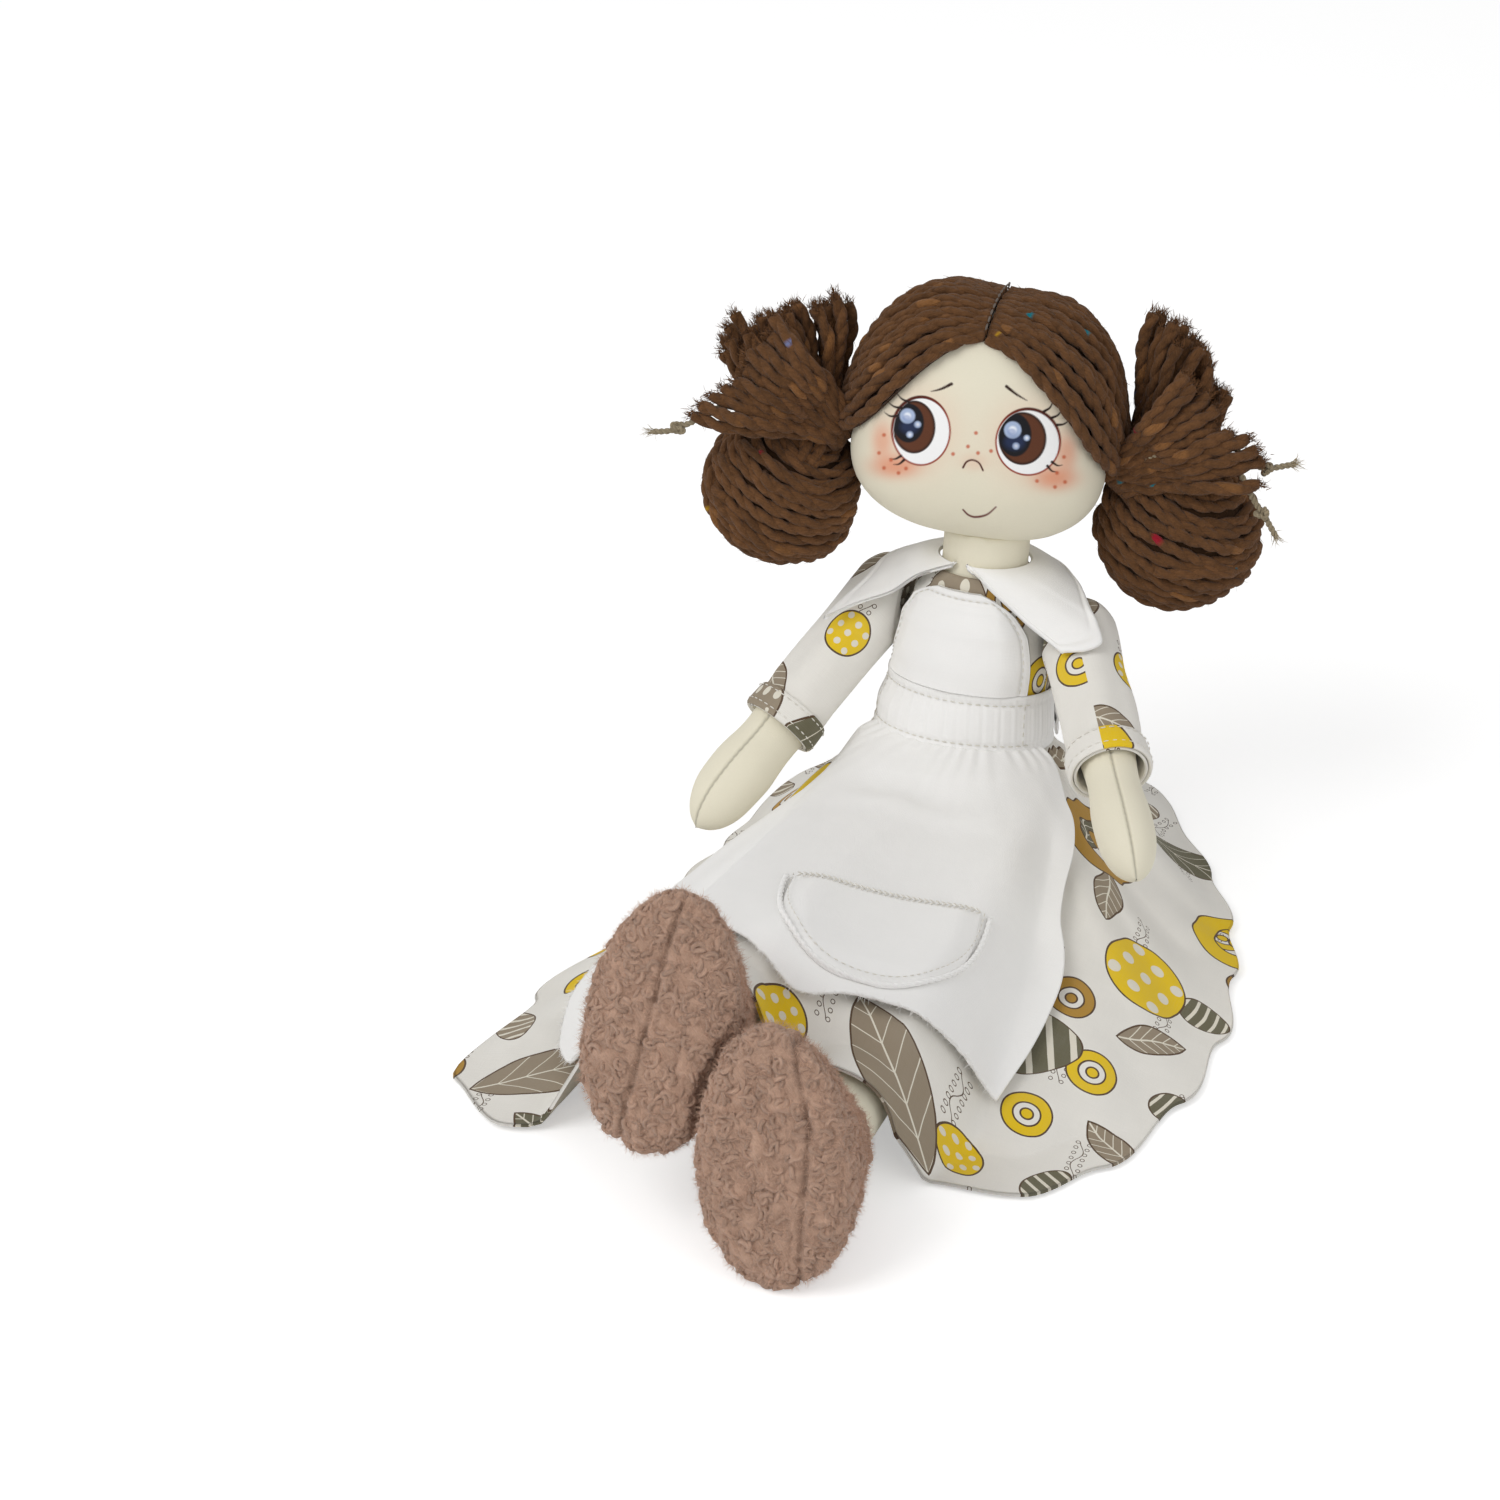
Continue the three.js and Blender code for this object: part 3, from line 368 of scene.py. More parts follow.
def cloth(shape, top, thickness, uv, wrap=False, flip=False, tint=None, under_slot=0):
    """A sheet under a grid of points, with rounded edges. Its normals point to the shown side."""
    normals = normals_of(top, wrap) * (-1 if flip else 1)
    columns, rows = top.shape[:2]
    under = top - normals * thickness
    raised = np.maximum(under[..., 2], FLOOR_CLEAR)
    under[..., 2] = np.where(top[..., 2] > thickness * 0.5, raised, under[..., 2])
    i, j = np.arange(columns), np.arange(rows)
    if wrap:
        around = np.append(i, 0)
        edges = [(around, np.full_like(around, row)) for row in (0, rows - 1)]
    else:
        edges = [(np.concatenate([i, np.full(rows - 1, columns - 1), i[-2::-1], np.zeros(rows - 1, int)]),
                  np.concatenate([np.zeros(columns, int), j[1:], np.full(columns - 1, rows - 1), j[-2::-1]]))]
    start = shape.count
    shape.grid(top, uv, wrap, flip, tint)
    shape.grid(under, uv, wrap, not flip, tint, slot=under_slot)
    for a, b in edges:
        inner_a = a if wrap else np.clip(a, 1, columns - 2)
        inner_b = np.clip(b, 1, rows - 2)
        out = unit(top[a, b] - top[inner_a, inner_b])
        middle = (top[a, b] + under[a, b]) / 2 + out * thickness * EDGE_ROUND
        index = a * rows + b + start - shape.count
        faces = rim_faces(index, index + columns * rows, np.arange(len(a)))
        here, there = uv[a, b][:-1], uv[a, b][1:]
        band = np.stack([here, there, there, here], -2)
        shape.add(middle, faces, tint=tint if np.ndim(tint) < 2 else None, face_uv=np.vstack([band, band]))


def frames_along(paths):
    """Unit tangents, normals and binormals of paths laid out (strands, steps, 3)."""
    tangents = unit(np.gradient(paths, axis=1))
    normals = np.empty_like(tangents)
    n = np.cross(tangents[:, 0], (0.31, 0.27, 0.91))
    for k in range(paths.shape[1]):
        t = tangents[:, k]
        n = unit(n - t * np.sum(n * t, axis=1, keepdims=True))
        normals[:, k] = n
    return tangents, normals, np.cross(tangents, normals)


def along_of(paths):
    steps = np.linalg.norm(np.diff(paths, axis=1), axis=2)
    return np.concatenate([np.zeros((len(paths), 1)), np.cumsum(steps, axis=1)], axis=1)


def tubes(shape, paths, radius, sides=7, tint=None):
    """Tubes round paths (strands, steps, 3), closed at their ends. radius and tint may vary at each step."""
    paths = np.asarray(paths, float)
    strands, steps, _ = paths.shape
    _, normals, others = frames_along(paths)
    radius = np.broadcast_to(radius, (strands, steps))
    turn = turns_of(sides)
    ring = normals[:, :, None] * np.cos(turn)[:, None] + others[:, :, None] * np.sin(turn)[:, None]
    points = paths[:, :, None] + radius[:, :, None, None] * ring
    s, k, i = np.meshgrid(np.arange(strands), np.arange(steps - 1), np.arange(sides), indexing="ij")
    here = (s * steps + k) * sides + i
    there = (s * steps + k) * sides + (i + 1) % sides
    faces = np.stack([here, there, there + sides, here + sides], -1).reshape(-1, 4)
    along = along_of(paths)
    corners = ((i, k), (i + 1, k), (i + 1, k + 1), (i, k + 1))
    face_uv = np.stack([np.stack([a / sides * 10, along[s, b]], -1) for a, b in corners], -2)
    tint = np.broadcast_to(1.0 if tint is None else tint, (strands, steps, 3))
    shape.add(points, faces, tint=np.repeat(tint.reshape(-1, 3), sides, axis=0), face_uv=face_uv)
    tip = radius[:, [0, -1], None] * 0.35
    ends = paths[:, [0, -1]] + tip * unit(paths[:, [0, -1]] - paths[:, [1, -2]])
    base = shape.count - strands * steps * sides
    caps = []
    for e, k in ((0, 0), (1, steps - 1)):
        first = (np.arange(strands)[:, None] * steps + k) * sides
        i = np.arange(sides)[None]
        middle = np.broadcast_to(shape.count + np.arange(strands)[:, None] * 2 + e, (strands, sides))
        a, b = base + first + i, base + first + (i + 1) % sides
        caps.append(np.stack([middle, b, a] if e == 0 else [middle, a, b], -1).reshape(-1, 3))
    caps = np.vstack(caps)
    shape.add(ends, caps - shape.count, tint=tint[:, [0, -1]].reshape(-1, 3))


PLIES = 2


def plied(paths, offset, pitch, phase=0.0):
    """The centre lines of plies twisted round each path."""
    _, normals, others = frames_along(paths)
    along = along_of(paths)
    found = []
    for ply in range(PLIES):
        turn = (2 * math.pi * (along / pitch + ply / PLIES) + phase)[..., None]
        found.append(paths + offset * (np.cos(turn) * normals + np.sin(turn) * others))
    return np.concatenate(found)


def fibres(shape, roots, ways, length, width, rng, bend=0.5, tint=None):
    """Fine loose hairs: narrow bent ribbons from roots along ways."""
    count = len(roots)
    length = np.broadcast_to(length, count)[:, None]
    ways = unit(ways)
    side = unit(np.cross(ways, rng.normal(size=(count, 3))))
    curl = unit(np.cross(ways, side)) * bend
    rows = []
    for share, wide in ((0, 1), (0.5, 0.8), (1, 0.25)):
        middle = roots + ways * length * share + curl * length * share ** 2
        rows += [middle - side * width * wide / 2, middle + side * width * wide / 2]
    points = np.stack(rows, axis=1)
    base = np.arange(count)[:, None] * 6
    faces = np.concatenate([base + (0, 1, 3, 2), base + (2, 3, 5, 4)])
    tints = None if tint is None else np.repeat(np.broadcast_to(tint, (count, 3)), 6, axis=0)
    shape.add(points, faces, tint=tints)


def stitches(shape, line, length, gap, radius, tint=None, slant=0.0, normal=None):
    """Short threads lying along a line, a stitch and then a gap."""
    line = np.asarray(line, float)
    total = length_of(line)
    count = max(int(total / (length + gap)), 1)
    dense = curve_through(line, count * 12 + 1) if len(line) < 200 else line
    along = np.concatenate([[0], np.cumsum(np.linalg.norm(np.diff(dense, axis=0), axis=1))])

    def at(s):
        return np.stack([np.interp(s, along, dense[:, k]) for k in range(3)], axis=-1)

    starts = (np.arange(count) + 0.5) * total / count
    share = np.linspace(-0.5, 0.5, 6)
    paths = at(starts[:, None] + share[None] * length)
    if slant:
        lean = unit(np.cross(at(starts + 0.2) - at(starts - 0.2), normal))
        paths = paths + lean[:, None] * (share * slant * length)[None, :, None]
    fat = radius * np.sqrt(np.maximum(1 - (share * 1.9) ** 2, 0.02))
    tubes(shape, paths, np.broadcast_to(fat, (count, 6)), sides=6, tint=tint)


# Materials

def maths(kind, swapped=False):
    """A method that puts a node of one kind of sum on a value and on what else it is given."""
    def method(self, *others):
        return self.put(kind, *others, self) if swapped else self.put(kind, self, *others)
    return method


class Value:
    """A number in a material's node tree, with plain arithmetic."""

    def __init__(self, tree, socket):
        self.tree, self.socket = tree, socket

    def put(self, kind, *inputs):
        node = self.tree.nodes.new("ShaderNodeMath")
        node.operation = kind
        for place, item in zip(node.inputs, inputs):
            feed(self.tree, place, item)
        return Value(self.tree, node.outputs[0])

    def wrap(self, size):
        return self.put("WRAP", self, size / 2, -size / 2)

    __add__ = __radd__ = maths("ADD")
    __sub__ = maths("SUBTRACT")
    __rsub__ = maths("SUBTRACT", swapped=True)
    __mul__ = __rmul__ = maths("MULTIPLY")
    __truediv__ = maths("DIVIDE")
    abs = maths("ABSOLUTE")
    sin = maths("SINE")
    cos = maths("COSINE")
    floor = maths("FLOOR")
    root = maths("SQRT")
    low = maths("MINIMUM")
    high = maths("MAXIMUM")
    under = maths("LESS_THAN")


def feed(tree, place, item):
    """A value, a socket or a plain number goes into a node's input."""
    if isinstance(item, Value):
        item = item.socket
    if isinstance(item, bpy.types.NodeSocket):
        tree.links.new(item, place)
    else:
        place.default_value = item


class Finish:
    """A material: its tree, its shader and short ways to add nodes."""

    def __init__(self, name, roughness, sheen=0.0, specular=0.2):
        self.material = bpy.data.materials.new(name)
        self.material.use_nodes = True
        self.tree = self.material.node_tree
        self.shader = next(n for n in self.tree.nodes if n.type == "BSDF_PRINCIPLED")
        self.shader.inputs["Roughness"].default_value = roughness
        self.shader.inputs["Specular IOR Level"].default_value = specular
        if sheen:
            self.shader.inputs["Sheen Weight"].default_value = sheen
            self.shader.inputs["Sheen Roughness"].default_value = 0.5

    def node(self, kind, settings=None, **inputs):
        node = self.tree.nodes.new(kind)
        for key, item in (settings or {}).items():
            setattr(node, key, item)
        for key, item in inputs.items():
            feed(self.tree, node.inputs[key.replace("_", " ")], item)
        return node

    def link(self, socket, name):
        self.tree.links.new(socket, self.shader.inputs[name])

    def cloth_uv(self):
        uv = self.node("ShaderNodeUVMap", {"uv_map": "cloth"})
        parts = self.node("ShaderNodeSeparateXYZ", Vector=uv.outputs[0])
        return Value(self.tree, parts.outputs[0]), Value(self.tree, parts.outputs[1])

    def tint(self):
        return self.node("ShaderNodeVertexColor", {"layer_name": "tint"}).outputs["Color"]

    def noise(self, scale, detail, vector=None):
        node = self.node("ShaderNodeTexNoise", Scale=scale, Detail=detail, Roughness=0.55)
        if vector is None:
            vector = self.node("ShaderNodeTexCoord").outputs["Object"]
        self.tree.links.new(vector, node.inputs["Vector"])
        return Value(self.tree, node.outputs[0])

    def mix(self, share, first, second, kind="MIX"):
        node = self.node("ShaderNodeMix", {"data_type": "RGBA", "blend_type": kind})
        for place, item in zip((node.inputs[0], node.inputs[6], node.inputs[7]), (share, first, second)):
            feed(self.tree, place, (*item, 1.0) if isinstance(item, (tuple, np.ndarray)) else item)
        return node.outputs[2]

    def bump(self, height, strength, distance):
        node = self.node("ShaderNodeBump", Strength=strength, Distance=distance * MM, Height=height)
        self.link(node.outputs[0], "Normal")


def weave(finish, u, v, pitch, slub):
    """Threads over and under each other, with thicker ones here and there."""
    turn = 2 * math.pi / pitch
    vector = finish.node("ShaderNodeCombineXYZ", X=u * 0.12, Y=v * 2.2).outputs[0]
    weft = finish.noise(1.0, 2.0, vector)
    vector = finish.node("ShaderNodeCombineXYZ", X=u * 2.2, Y=v * 0.12, Z=7.0).outputs[0]
    warp = finish.noise(1.0, 2.0, vector)
    over = ((u + v) * (turn / 2)).sin() * ((u - v) * (turn / 2)).sin()
    return over * 0.35 + (weft + warp) * slub


def linen(name, base, strength, pitch=0.42, shade=0.06, slub=0.9):
    finish = Finish(name, roughness=0.88, sheen=0.08)
    u, v = finish.cloth_uv()
    threads = weave(finish, u, v, pitch, slub)
    cloudy = finish.noise(60.0, 4.0)
    dark = base * (1 - shade * 2.2)
    share = (threads * 0.5 + cloudy * 0.8 - 0.55).high(0.0).low(1.0)
    shaded = finish.mix(share, base, dark)
    finish.link(finish.mix(1.0, shaded, finish.tint(), "MULTIPLY"), "Base Color")
    finish.bump(threads, strength, 0.25)
    return finish.material


INK = colour(84, 62, 42)
TAUPE = colour(150, 136, 116)
OLIVE = colour(104, 100, 78)
YELLOW = colour(232, 196, 22)
MUSTARD = colour(178, 136, 52)
PALE = colour(228, 222, 206)


def in_cells(u, v, cell, shift, stagger):
    """The row and column of a staggered layout that a place is in, and its place from that cell's middle."""
    width, height = cell
    row = ((v + shift[1]) / height).floor()
    moved = u + shift[0] + row * (width * stagger)
    column = (moved / width).floor()
    return row, column, moved - (column + 0.5) * width, v + shift[1] - (row + 0.5) * height


def motif_layer(finish, ground, u, v, cell, shift, seed):
    """One scatter of printed motifs: leaves, dotted rounds, seeds and rings, each with a thin outline."""
    row, column, x, y = in_cells(u, v, cell, shift, 0.5)
    key = finish.node("ShaderNodeCombineXYZ", X=column, Y=row, Z=float(seed)).outputs[0]
    dice = finish.node("ShaderNodeTexWhiteNoise", {"noise_dimensions": "3D"})
    finish.tree.links.new(key, dice.inputs["Vector"])
    split = finish.node("ShaderNodeSeparateColor")
    finish.tree.links.new(dice.outputs["Color"], split.inputs[0])
    pick, spin, hue = (Value(finish.tree, split.outputs[k]) for k in range(3))
    angle = spin * (2 * math.pi)
    size = min(cell)
    px = x * angle.cos() + y * angle.sin()
    py = y * angle.cos() - x * angle.sin()

    # A leaf with a pale vein and side veins
    bend, reach = size * 0.42, size * 0.64
    leaf = ((px.abs() + bend) * (px.abs() + bend) + py * py).root() - reach
    vein = (px.abs() - 0.28).low(((py + px.abs() * 1.1).wrap(size * 0.16)).abs() - 0.22)
    # A round with dots in it
    far = (px * px + py * py).root()
    disc = far - size * 0.3
    dot = size * 0.17
    dots = (px.wrap(dot) * px.wrap(dot) + py.wrap(dot) * py.wrap(dot)).root() - size * 0.045
    # A seed, wider at one end, with stripes
    taper = py * (0.5 / size) + 1.0
    seed_shape = (px * px * 2.1 / (taper * taper) + py * py).root() - size * 0.36
    stripes = (py.wrap(size * 0.15)).abs() - size * 0.022
    # A ring with a smaller round in it
    ring = (far - size * 0.25).abs() - size * 0.075
    core = far - size * 0.08

    second = pick.under(0.72)
    third = pick.under(0.5)
    fourth = pick.under(0.26)

    def choose(flag, yes, no):
        return yes * flag + no * (1.0 - flag)

    outline = choose(fourth, leaf, choose(third, disc, choose(second, seed_shape, ring.low(core))))
    inner = choose(fourth, vein, choose(third, dots, choose(second, stripes, ring * 0.0 + 1.0)))
    fill_a = finish.mix(hue.under(0.4), TAUPE, OLIVE)
    fill_b = finish.mix(hue.under(0.6), MUSTARD, YELLOW)
    fill_c = finish.mix(hue.under(0.35), TAUPE, YELLOW)
    fill = finish.mix(fourth, finish.mix(third, finish.mix(second, fill_b, fill_a), fill_c), fill_a)
    outline = choose(spin.under(0.7), outline, size)
    pale = finish.mix(inner.under(0.0), fill, PALE)
    painted = finish.mix(outline.under(0.0), ground, pale)
    return finish.mix((outline.abs() - 0.17).under(0.12), painted, INK)


def sprig_layer(finish, ground, u, v, cell, shift):
    """Fine sprigs drawn in line only: a curved stem with small buds."""
    _, _, x, y = in_cells(u, v, cell, shift, 0.37)
    height = cell[1]
    stem = (x - (y * 0.55).sin() * 1.1).abs() - 0.14
    kept = (y.abs() - height * 0.24).high(stem)
    bud_y = y.wrap(2.6)
    bud_x = x.abs() - 1.7
    bud = ((bud_x * bud_x + bud_y * bud_y).root() - 0.62).abs() - 0.12
    bud = bud.high(y.abs() - height * 0.26)
    return finish.mix(kept.low(bud).under(0.0), ground, INK)


def printed(name, ground, fade=0.0):
    """White cotton with a scattered print of leaves, dotted rounds, seeds, rings and sprigs."""
    finish = Finish(name, roughness=0.86, sheen=0.06)
    u, v = finish.cloth_uv()
    wobble = finish.noise(90.0, 2.0)
    wavy = u + (wobble - 0.5) * 0.9, v + (wobble - 0.5) * -0.7
    paint = sprig_layer(finish, ground, *wavy, cell=(38.0, 33.0), shift=(9.0, 4.0))
    paint = motif_layer(finish, paint, *wavy, cell=(27.0, 24.0), shift=(6.0, 11.0), seed=3)
    paint = motif_layer(finish, paint, *wavy, cell=(54.0, 47.0), shift=(0.0, 0.0), seed=11)
    threads = weave(finish, u, v, 0.36, 0.8)
    if fade:
        paint = finish.mix(fade, paint, ground)
    cloudy = finish.noise(55.0, 3.0)
    shade = (threads * 0.5 + cloudy * 0.7 - 0.5).high(0.0).low(1.0)
    worn = finish.mix(shade * 0.22, paint, ground * 0.55)
    finish.link(finish.mix(1.0, worn, finish.tint(), "MULTIPLY"), "Base Color")
    finish.bump(threads, 0.3, 0.2)
    return finish.material


def yarn_finish(name, fine=1.0, sheen=0.08, deep=0.5):
    """Spun yarn: colour from the mesh, with streaks and bumps that wind along each ply."""
    finish = Finish(name, roughness=0.95, sheen=sheen, specular=0.12)
    u, v = finish.cloth_uv()
    vector = finish.node("ShaderNodeCombineXYZ", X=u * 2.4 + v * 1.3, Y=v * 0.35).outputs[0]
    streak = finish.noise(fine, 3.0, vector)
    fluff = finish.noise(1400.0, 2.0)
    share = (streak * 1.5 + fluff * 0.5 - 0.55).high(0.0).low(1.0)
    dark = finish.mix(1.0, finish.tint(), (deep, deep * 0.97, deep * 0.93), "MULTIPLY")
    finish.link(finish.mix(share, dark, finish.tint()), "Base Color")
    finish.bump(streak + fluff * 0.9, 0.9, 0.5)
    return finish.material


def skin_finish(name):
    """Close-woven cotton; the paint on it comes from the mesh's colours."""
    finish = Finish(name, roughness=0.82, sheen=0.1, specular=0.25)
    weft = finish.noise(2600.0, 1.0)
    cloudy = finish.noise(45.0, 3.0)
    share = (weft * 0.7 + cloudy * 0.5 - 0.45).high(0.0).low(1.0) * 0.3
    dark = finish.mix(1.0, finish.tint(), (0.86, 0.84, 0.79), "MULTIPLY")
    finish.link(finish.mix(share, finish.tint(), dark), "Base Color")
    finish.bump(weft + cloudy * 0.5, 0.25, 0.2)
    return finish.material


def wood_finish(name):
    finish = Finish(name, roughness=0.55, specular=0.4)
    place = finish.node("ShaderNodeTexCoord").outputs["Object"]
    stretched = finish.node("ShaderNodeMapping", Vector=place, Scale=(900.0, 900.0, 60.0)).outputs[0]
    grain = finish.noise(1.0, 4.0, stretched)
    finish.link(finish.mix(grain, colour(150, 104, 62), colour(206, 166, 112)), "Base Color")
    finish.bump(grain, 0.3, 0.2)
    return finish.material


# Camera, light and stage
CAMERA_ELEVATION = 30
CAMERA_AZIMUTH = 20
CAMERA_DISTANCE = 1000
MM_PER_PIXEL = 0.30
ANCHOR = np.array([0, 12.6, 101])
ANCHOR_PIXEL = (985, 562)
IMAGE = 1500

upward, leftward = math.radians(CAMERA_ELEVATION), math.radians(CAMERA_AZIMUTH)
VIEW_BACK = np.array([math.sin(leftward) * math.cos(upward), -math.cos(leftward) * math.cos(upward),
                      math.sin(upward)])
VIEW_RIGHT = np.array([math.cos(leftward), math.sin(leftward), 0])
VIEW_UP = np.cross(VIEW_BACK, VIEW_RIGHT)
CAMERA_PLACE = (ANCHOR + VIEW_BACK * CAMERA_DISTANCE
                - VIEW_RIGHT * (ANCHOR_PIXEL[0] - IMAGE / 2) * MM_PER_PIXEL
                - VIEW_UP * (IMAGE / 2 - ANCHOR_PIXEL[1]) * MM_PER_PIXEL)
FOCAL_PIXELS = CAMERA_DISTANCE / MM_PER_PIXEL
SENSOR = 36


def pixel_of(points):
    """Where points in the frame fall in the photograph, in its 1500 x 1500 pixels."""
    away = np.asarray(points, float) - CAMERA_PLACE
    depth = -(away @ VIEW_BACK)
    return (IMAGE / 2 + FOCAL_PIXELS * (away @ VIEW_RIGHT) / depth,
            IMAGE / 2 - FOCAL_PIXELS * (away @ VIEW_UP) / depth)


def make_camera():
    data = bpy.data.cameras.new("camera")
    data.sensor_width = SENSOR
    data.lens = FOCAL_PIXELS * SENSOR / IMAGE
    data.clip_start = 0.01
    camera = bpy.data.objects.new("camera", data)
    camera.location = Vector(CAMERA_PLACE * MM)
    camera.rotation_mode = "QUATERNION"
    camera.rotation_quaternion = Vector(-VIEW_BACK).to_track_quat("-Z", "Y")
    scene.collection.objects.link(camera)
    scene.camera = camera


def seen_directly(tree):
    """One where the camera or a mirror looks straight at a surface, zero for the light that falls on it."""
    rays = tree.nodes.new("ShaderNodeLightPath").outputs
    kinds = ("Camera", "Glossy", "Transmission")
    camera, glossy, through = (Value(tree, rays[f"Is {kind} Ray"]) for kind in kinds)
    return camera.high(glossy).high(through)


# Light, in metres and watts; the floor glows a little, so that it shows as white as the world round it
WORLD_LIGHT = 0.52
LAMP_TARGET = (0, -0.06, 0.09)
LAMPS = {
    "key": {"place": (-0.7, -0.9, 1.15), "power": 9.4, "size": 0.9},
    "fill": {"place": (1.05, -0.7, 0.65), "power": 3.2, "size": 1.1},
}
FLOOR_HALF = 1500
FLOOR_GREY = 0.9
FLOOR_GLOW = 0.42


def make_light():
    world = bpy.data.worlds.new("studio")
    scene.world = world
    world.use_nodes = True
    tree = world.node_tree
    back = next(n for n in tree.nodes if n.type == "BACKGROUND")
    back.inputs[0].default_value = (1, 1, 1, 1)
    level = tree.nodes.new("ShaderNodeMapRange")
    feed(tree, level.inputs[0], seen_directly(tree))
    level.inputs[3].default_value = WORLD_LIGHT
    level.inputs[4].default_value = 1.0
    tree.links.new(level.outputs[0], back.inputs[1])
    for name, lamp in LAMPS.items():
        data = bpy.data.lights.new(name, "AREA")
        data.energy = lamp["power"]
        data.size = lamp["size"]
        piece = bpy.data.objects.new(name, data)
        piece.location = lamp["place"]
        piece.rotation_mode = "QUATERNION"
        piece.rotation_quaternion = (Vector(LAMP_TARGET) - Vector(lamp["place"])).to_track_quat("-Z", "Y")
        scene.collection.objects.link(piece)


def make_floor():
    finish = Finish("pale_floor", roughness=0.9, specular=0.0)
    finish.shader.inputs["Base Color"].default_value = (FLOOR_GREY, FLOOR_GREY, FLOOR_GREY, 1)
    finish.shader.inputs["Emission Color"].default_value = (1, 1, 1, 1)
    finish.link((seen_directly(finish.tree) * FLOOR_GLOW).socket, "Emission Strength")
    side = FLOOR_HALF
    points = [(-side, -side, 0), (side, -side, 0), (side, side, 0), (-side, side, 0)]
    floor = Shape().add(points, [(0, 1, 2, 3)]).build("floor", finish.material)


make_camera()

SKIN = skin_finish("skin_cotton")
LINEN = linen("white_linen", colour(246, 245, 243), strength=0.22, shade=0.03, slub=0.6)
THREAD = linen("white_thread", colour(244, 240, 230), pitch=0.3, strength=0.6)
GREY_THREAD = linen("grey_thread", colour(150, 142, 134), pitch=0.3, strength=0.5)
PRINT = printed("printed_cotton", colour(236, 233, 226))
# The skirt's inner side: its print is faded as on a cloth's reverse, and its darker ground is painted shade
# inside the skirt
PRINT_BACK_SHADED = printed("printed_cotton_reverse_shaded", colour(206, 198, 180), fade=0.45)
HAIR = yarn_finish("hair_yarn")
TWINE = yarn_finish("tie_string", fine=2.0, sheen=0.1)
WOOL = yarn_finish("boot_wool", fine=1.2, sheen=0.25, deep=0.72)
WOOD = wood_finish("stick_wood")

# Tie strings: each free end's route is a list of points in the head's own axes, ending in a knot.
STRING_ROUTES = {
    "left_upper": [
        (47.9, -4, 0.3), (47.9, -6.1, 0.4), (48.5, -8.3, 0.8), (49.9, -10.2, 1.7), (52.1, -11.5, 3),
        (54.8, -12.1, 4.4), (57.7, -12.2, 5.9), (60.8, -12.4, 7), (64, -12.5, 7.7), (67.2, -12.5, 7.9),
        (70.2, -12.5, 7.4), (73, -12.5, 6.5), (75.8, -12.4, 5.1), (78.6, -12.3, 3.6), (81.4, -12.2, 2.6),
        (84.4, -12.1, 2.9), (87.6, -12, 4), (90.6, -12, 5.2),
    ],
    "left_lower": [
        (46.3, -4, -1.6), (46.2, -6.4, -1.5), (46.7, -8.9, -1.2), (48, -11.3, -0.5), (50.1, -13.3, 0.6),
        (53, -14.7, 2.1), (56.4, -15.5, 3.7), (60, -15.9, 5), (63.6, -16.2, 5.8), (67, -16.3, 5.6),
        (70.2, -16.2, 4.6), (73, -16, 2.9), (75.4, -15.8, 0.6), (77.6, -15.5, -2.2), (79.8, -15.2, -5.2),
        (82.2, -14.9, -8), (85, -14.6, -10.9), (89.4, -14.2, -16.2),
    ],
    "right": [
        (-48.6, -4, -2.3), (-48.6, -6.3, -2.2), (-49.3, -8.6, -1.7), (-50.9, -10.7, -0.8),
        (-53.2, -12.2, 0.4), (-56.1, -13.2, 1.5), (-59.3, -13.8, 2.1), (-62.6, -14.2, 2),
        (-66, -14.4, 1.2), (-69.4, -14.8, -0.8),
        (-72.8, -15, -3.4), (-76.2, -15.1, -6.2), (-79.6, -15.1, -9.1), (-83, -15.1, -11.9),
        (-86.6, -15, -14.4), (-90.4, -15, -16.6), (-95.4, -15, -17.8),
    ],
}
STRING_COLOUR = colour(196, 180, 150)


def make_string(key, route):
    """A twisted linen string with an overhand knot near its end and a frayed tip."""
    rng = np.random.default_rng(len(key))
    line = placed(curve_through(route, 160), HEAD)
    shape = Shape()
    tubes(shape, plied(line[None], STRING * 0.42, STRING_PITCH), STRING * 0.56, tint=STRING_COLOUR)
    roots = line[rng.integers(2, 150, 90)]
    fibres(shape, roots, rng.normal(size=(90, 3)), rng.uniform(0.8, 1.8, 90), 0.1, rng, tint=STRING_COLOUR)
    string = shape.build(f"string_{key}", TWINE)
    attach(string, "head")
    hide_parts(f"tie_end_{key}")

    along = along_of(line[None])[0]
    total = along[-1]
    k = int(np.searchsorted(along, total - KNOT_FROM_END))
    tangent, normal, other = (f[0, k] for f in frames_along(line[None]))
    turn = np.linspace(0, 2 * math.pi, 60)[:, None]
    lobes = 1.25 + 0.45 * np.cos(3 * turn)
    knot_line = (line[k] + tangent * 1.3 * np.sin(2 * turn) * 0.9
                 + normal * lobes * np.cos(turn) + other * lobes * np.sin(turn))
    knot_shape = Shape()
    tubes(knot_shape, plied(knot_line[None], STRING * 0.36, 2.6), STRING * 0.52, sides=6, tint=STRING_COLOUR)
    knot = knot_shape.build(f"string_{key}_knot", TWINE)

    tip = Shape()
    count = 46
    way = unit(line[-1] - line[-6])
    roots = line[-1] - way * rng.uniform(0, 1.2, (count, 1)) + rng.normal(size=(count, 3)) * 0.35
    ways = way + rng.normal(size=(count, 3)) * 0.33
    fibres(tip, roots, ways, rng.uniform(1.6, 4.2, count), 0.22, rng, tint=STRING_COLOUR)
    frayed = tip.build(f"string_{key}_fray", TWINE)
    for piece in (knot, frayed):
        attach(piece, "head")


for key, route in STRING_ROUTES.items():
    make_string(key, route)

make_light()
make_floor()


def finished(piece, body, slot, *nodes):
    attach(piece, body)
    if nodes:
        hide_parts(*nodes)
    return piece


# Head

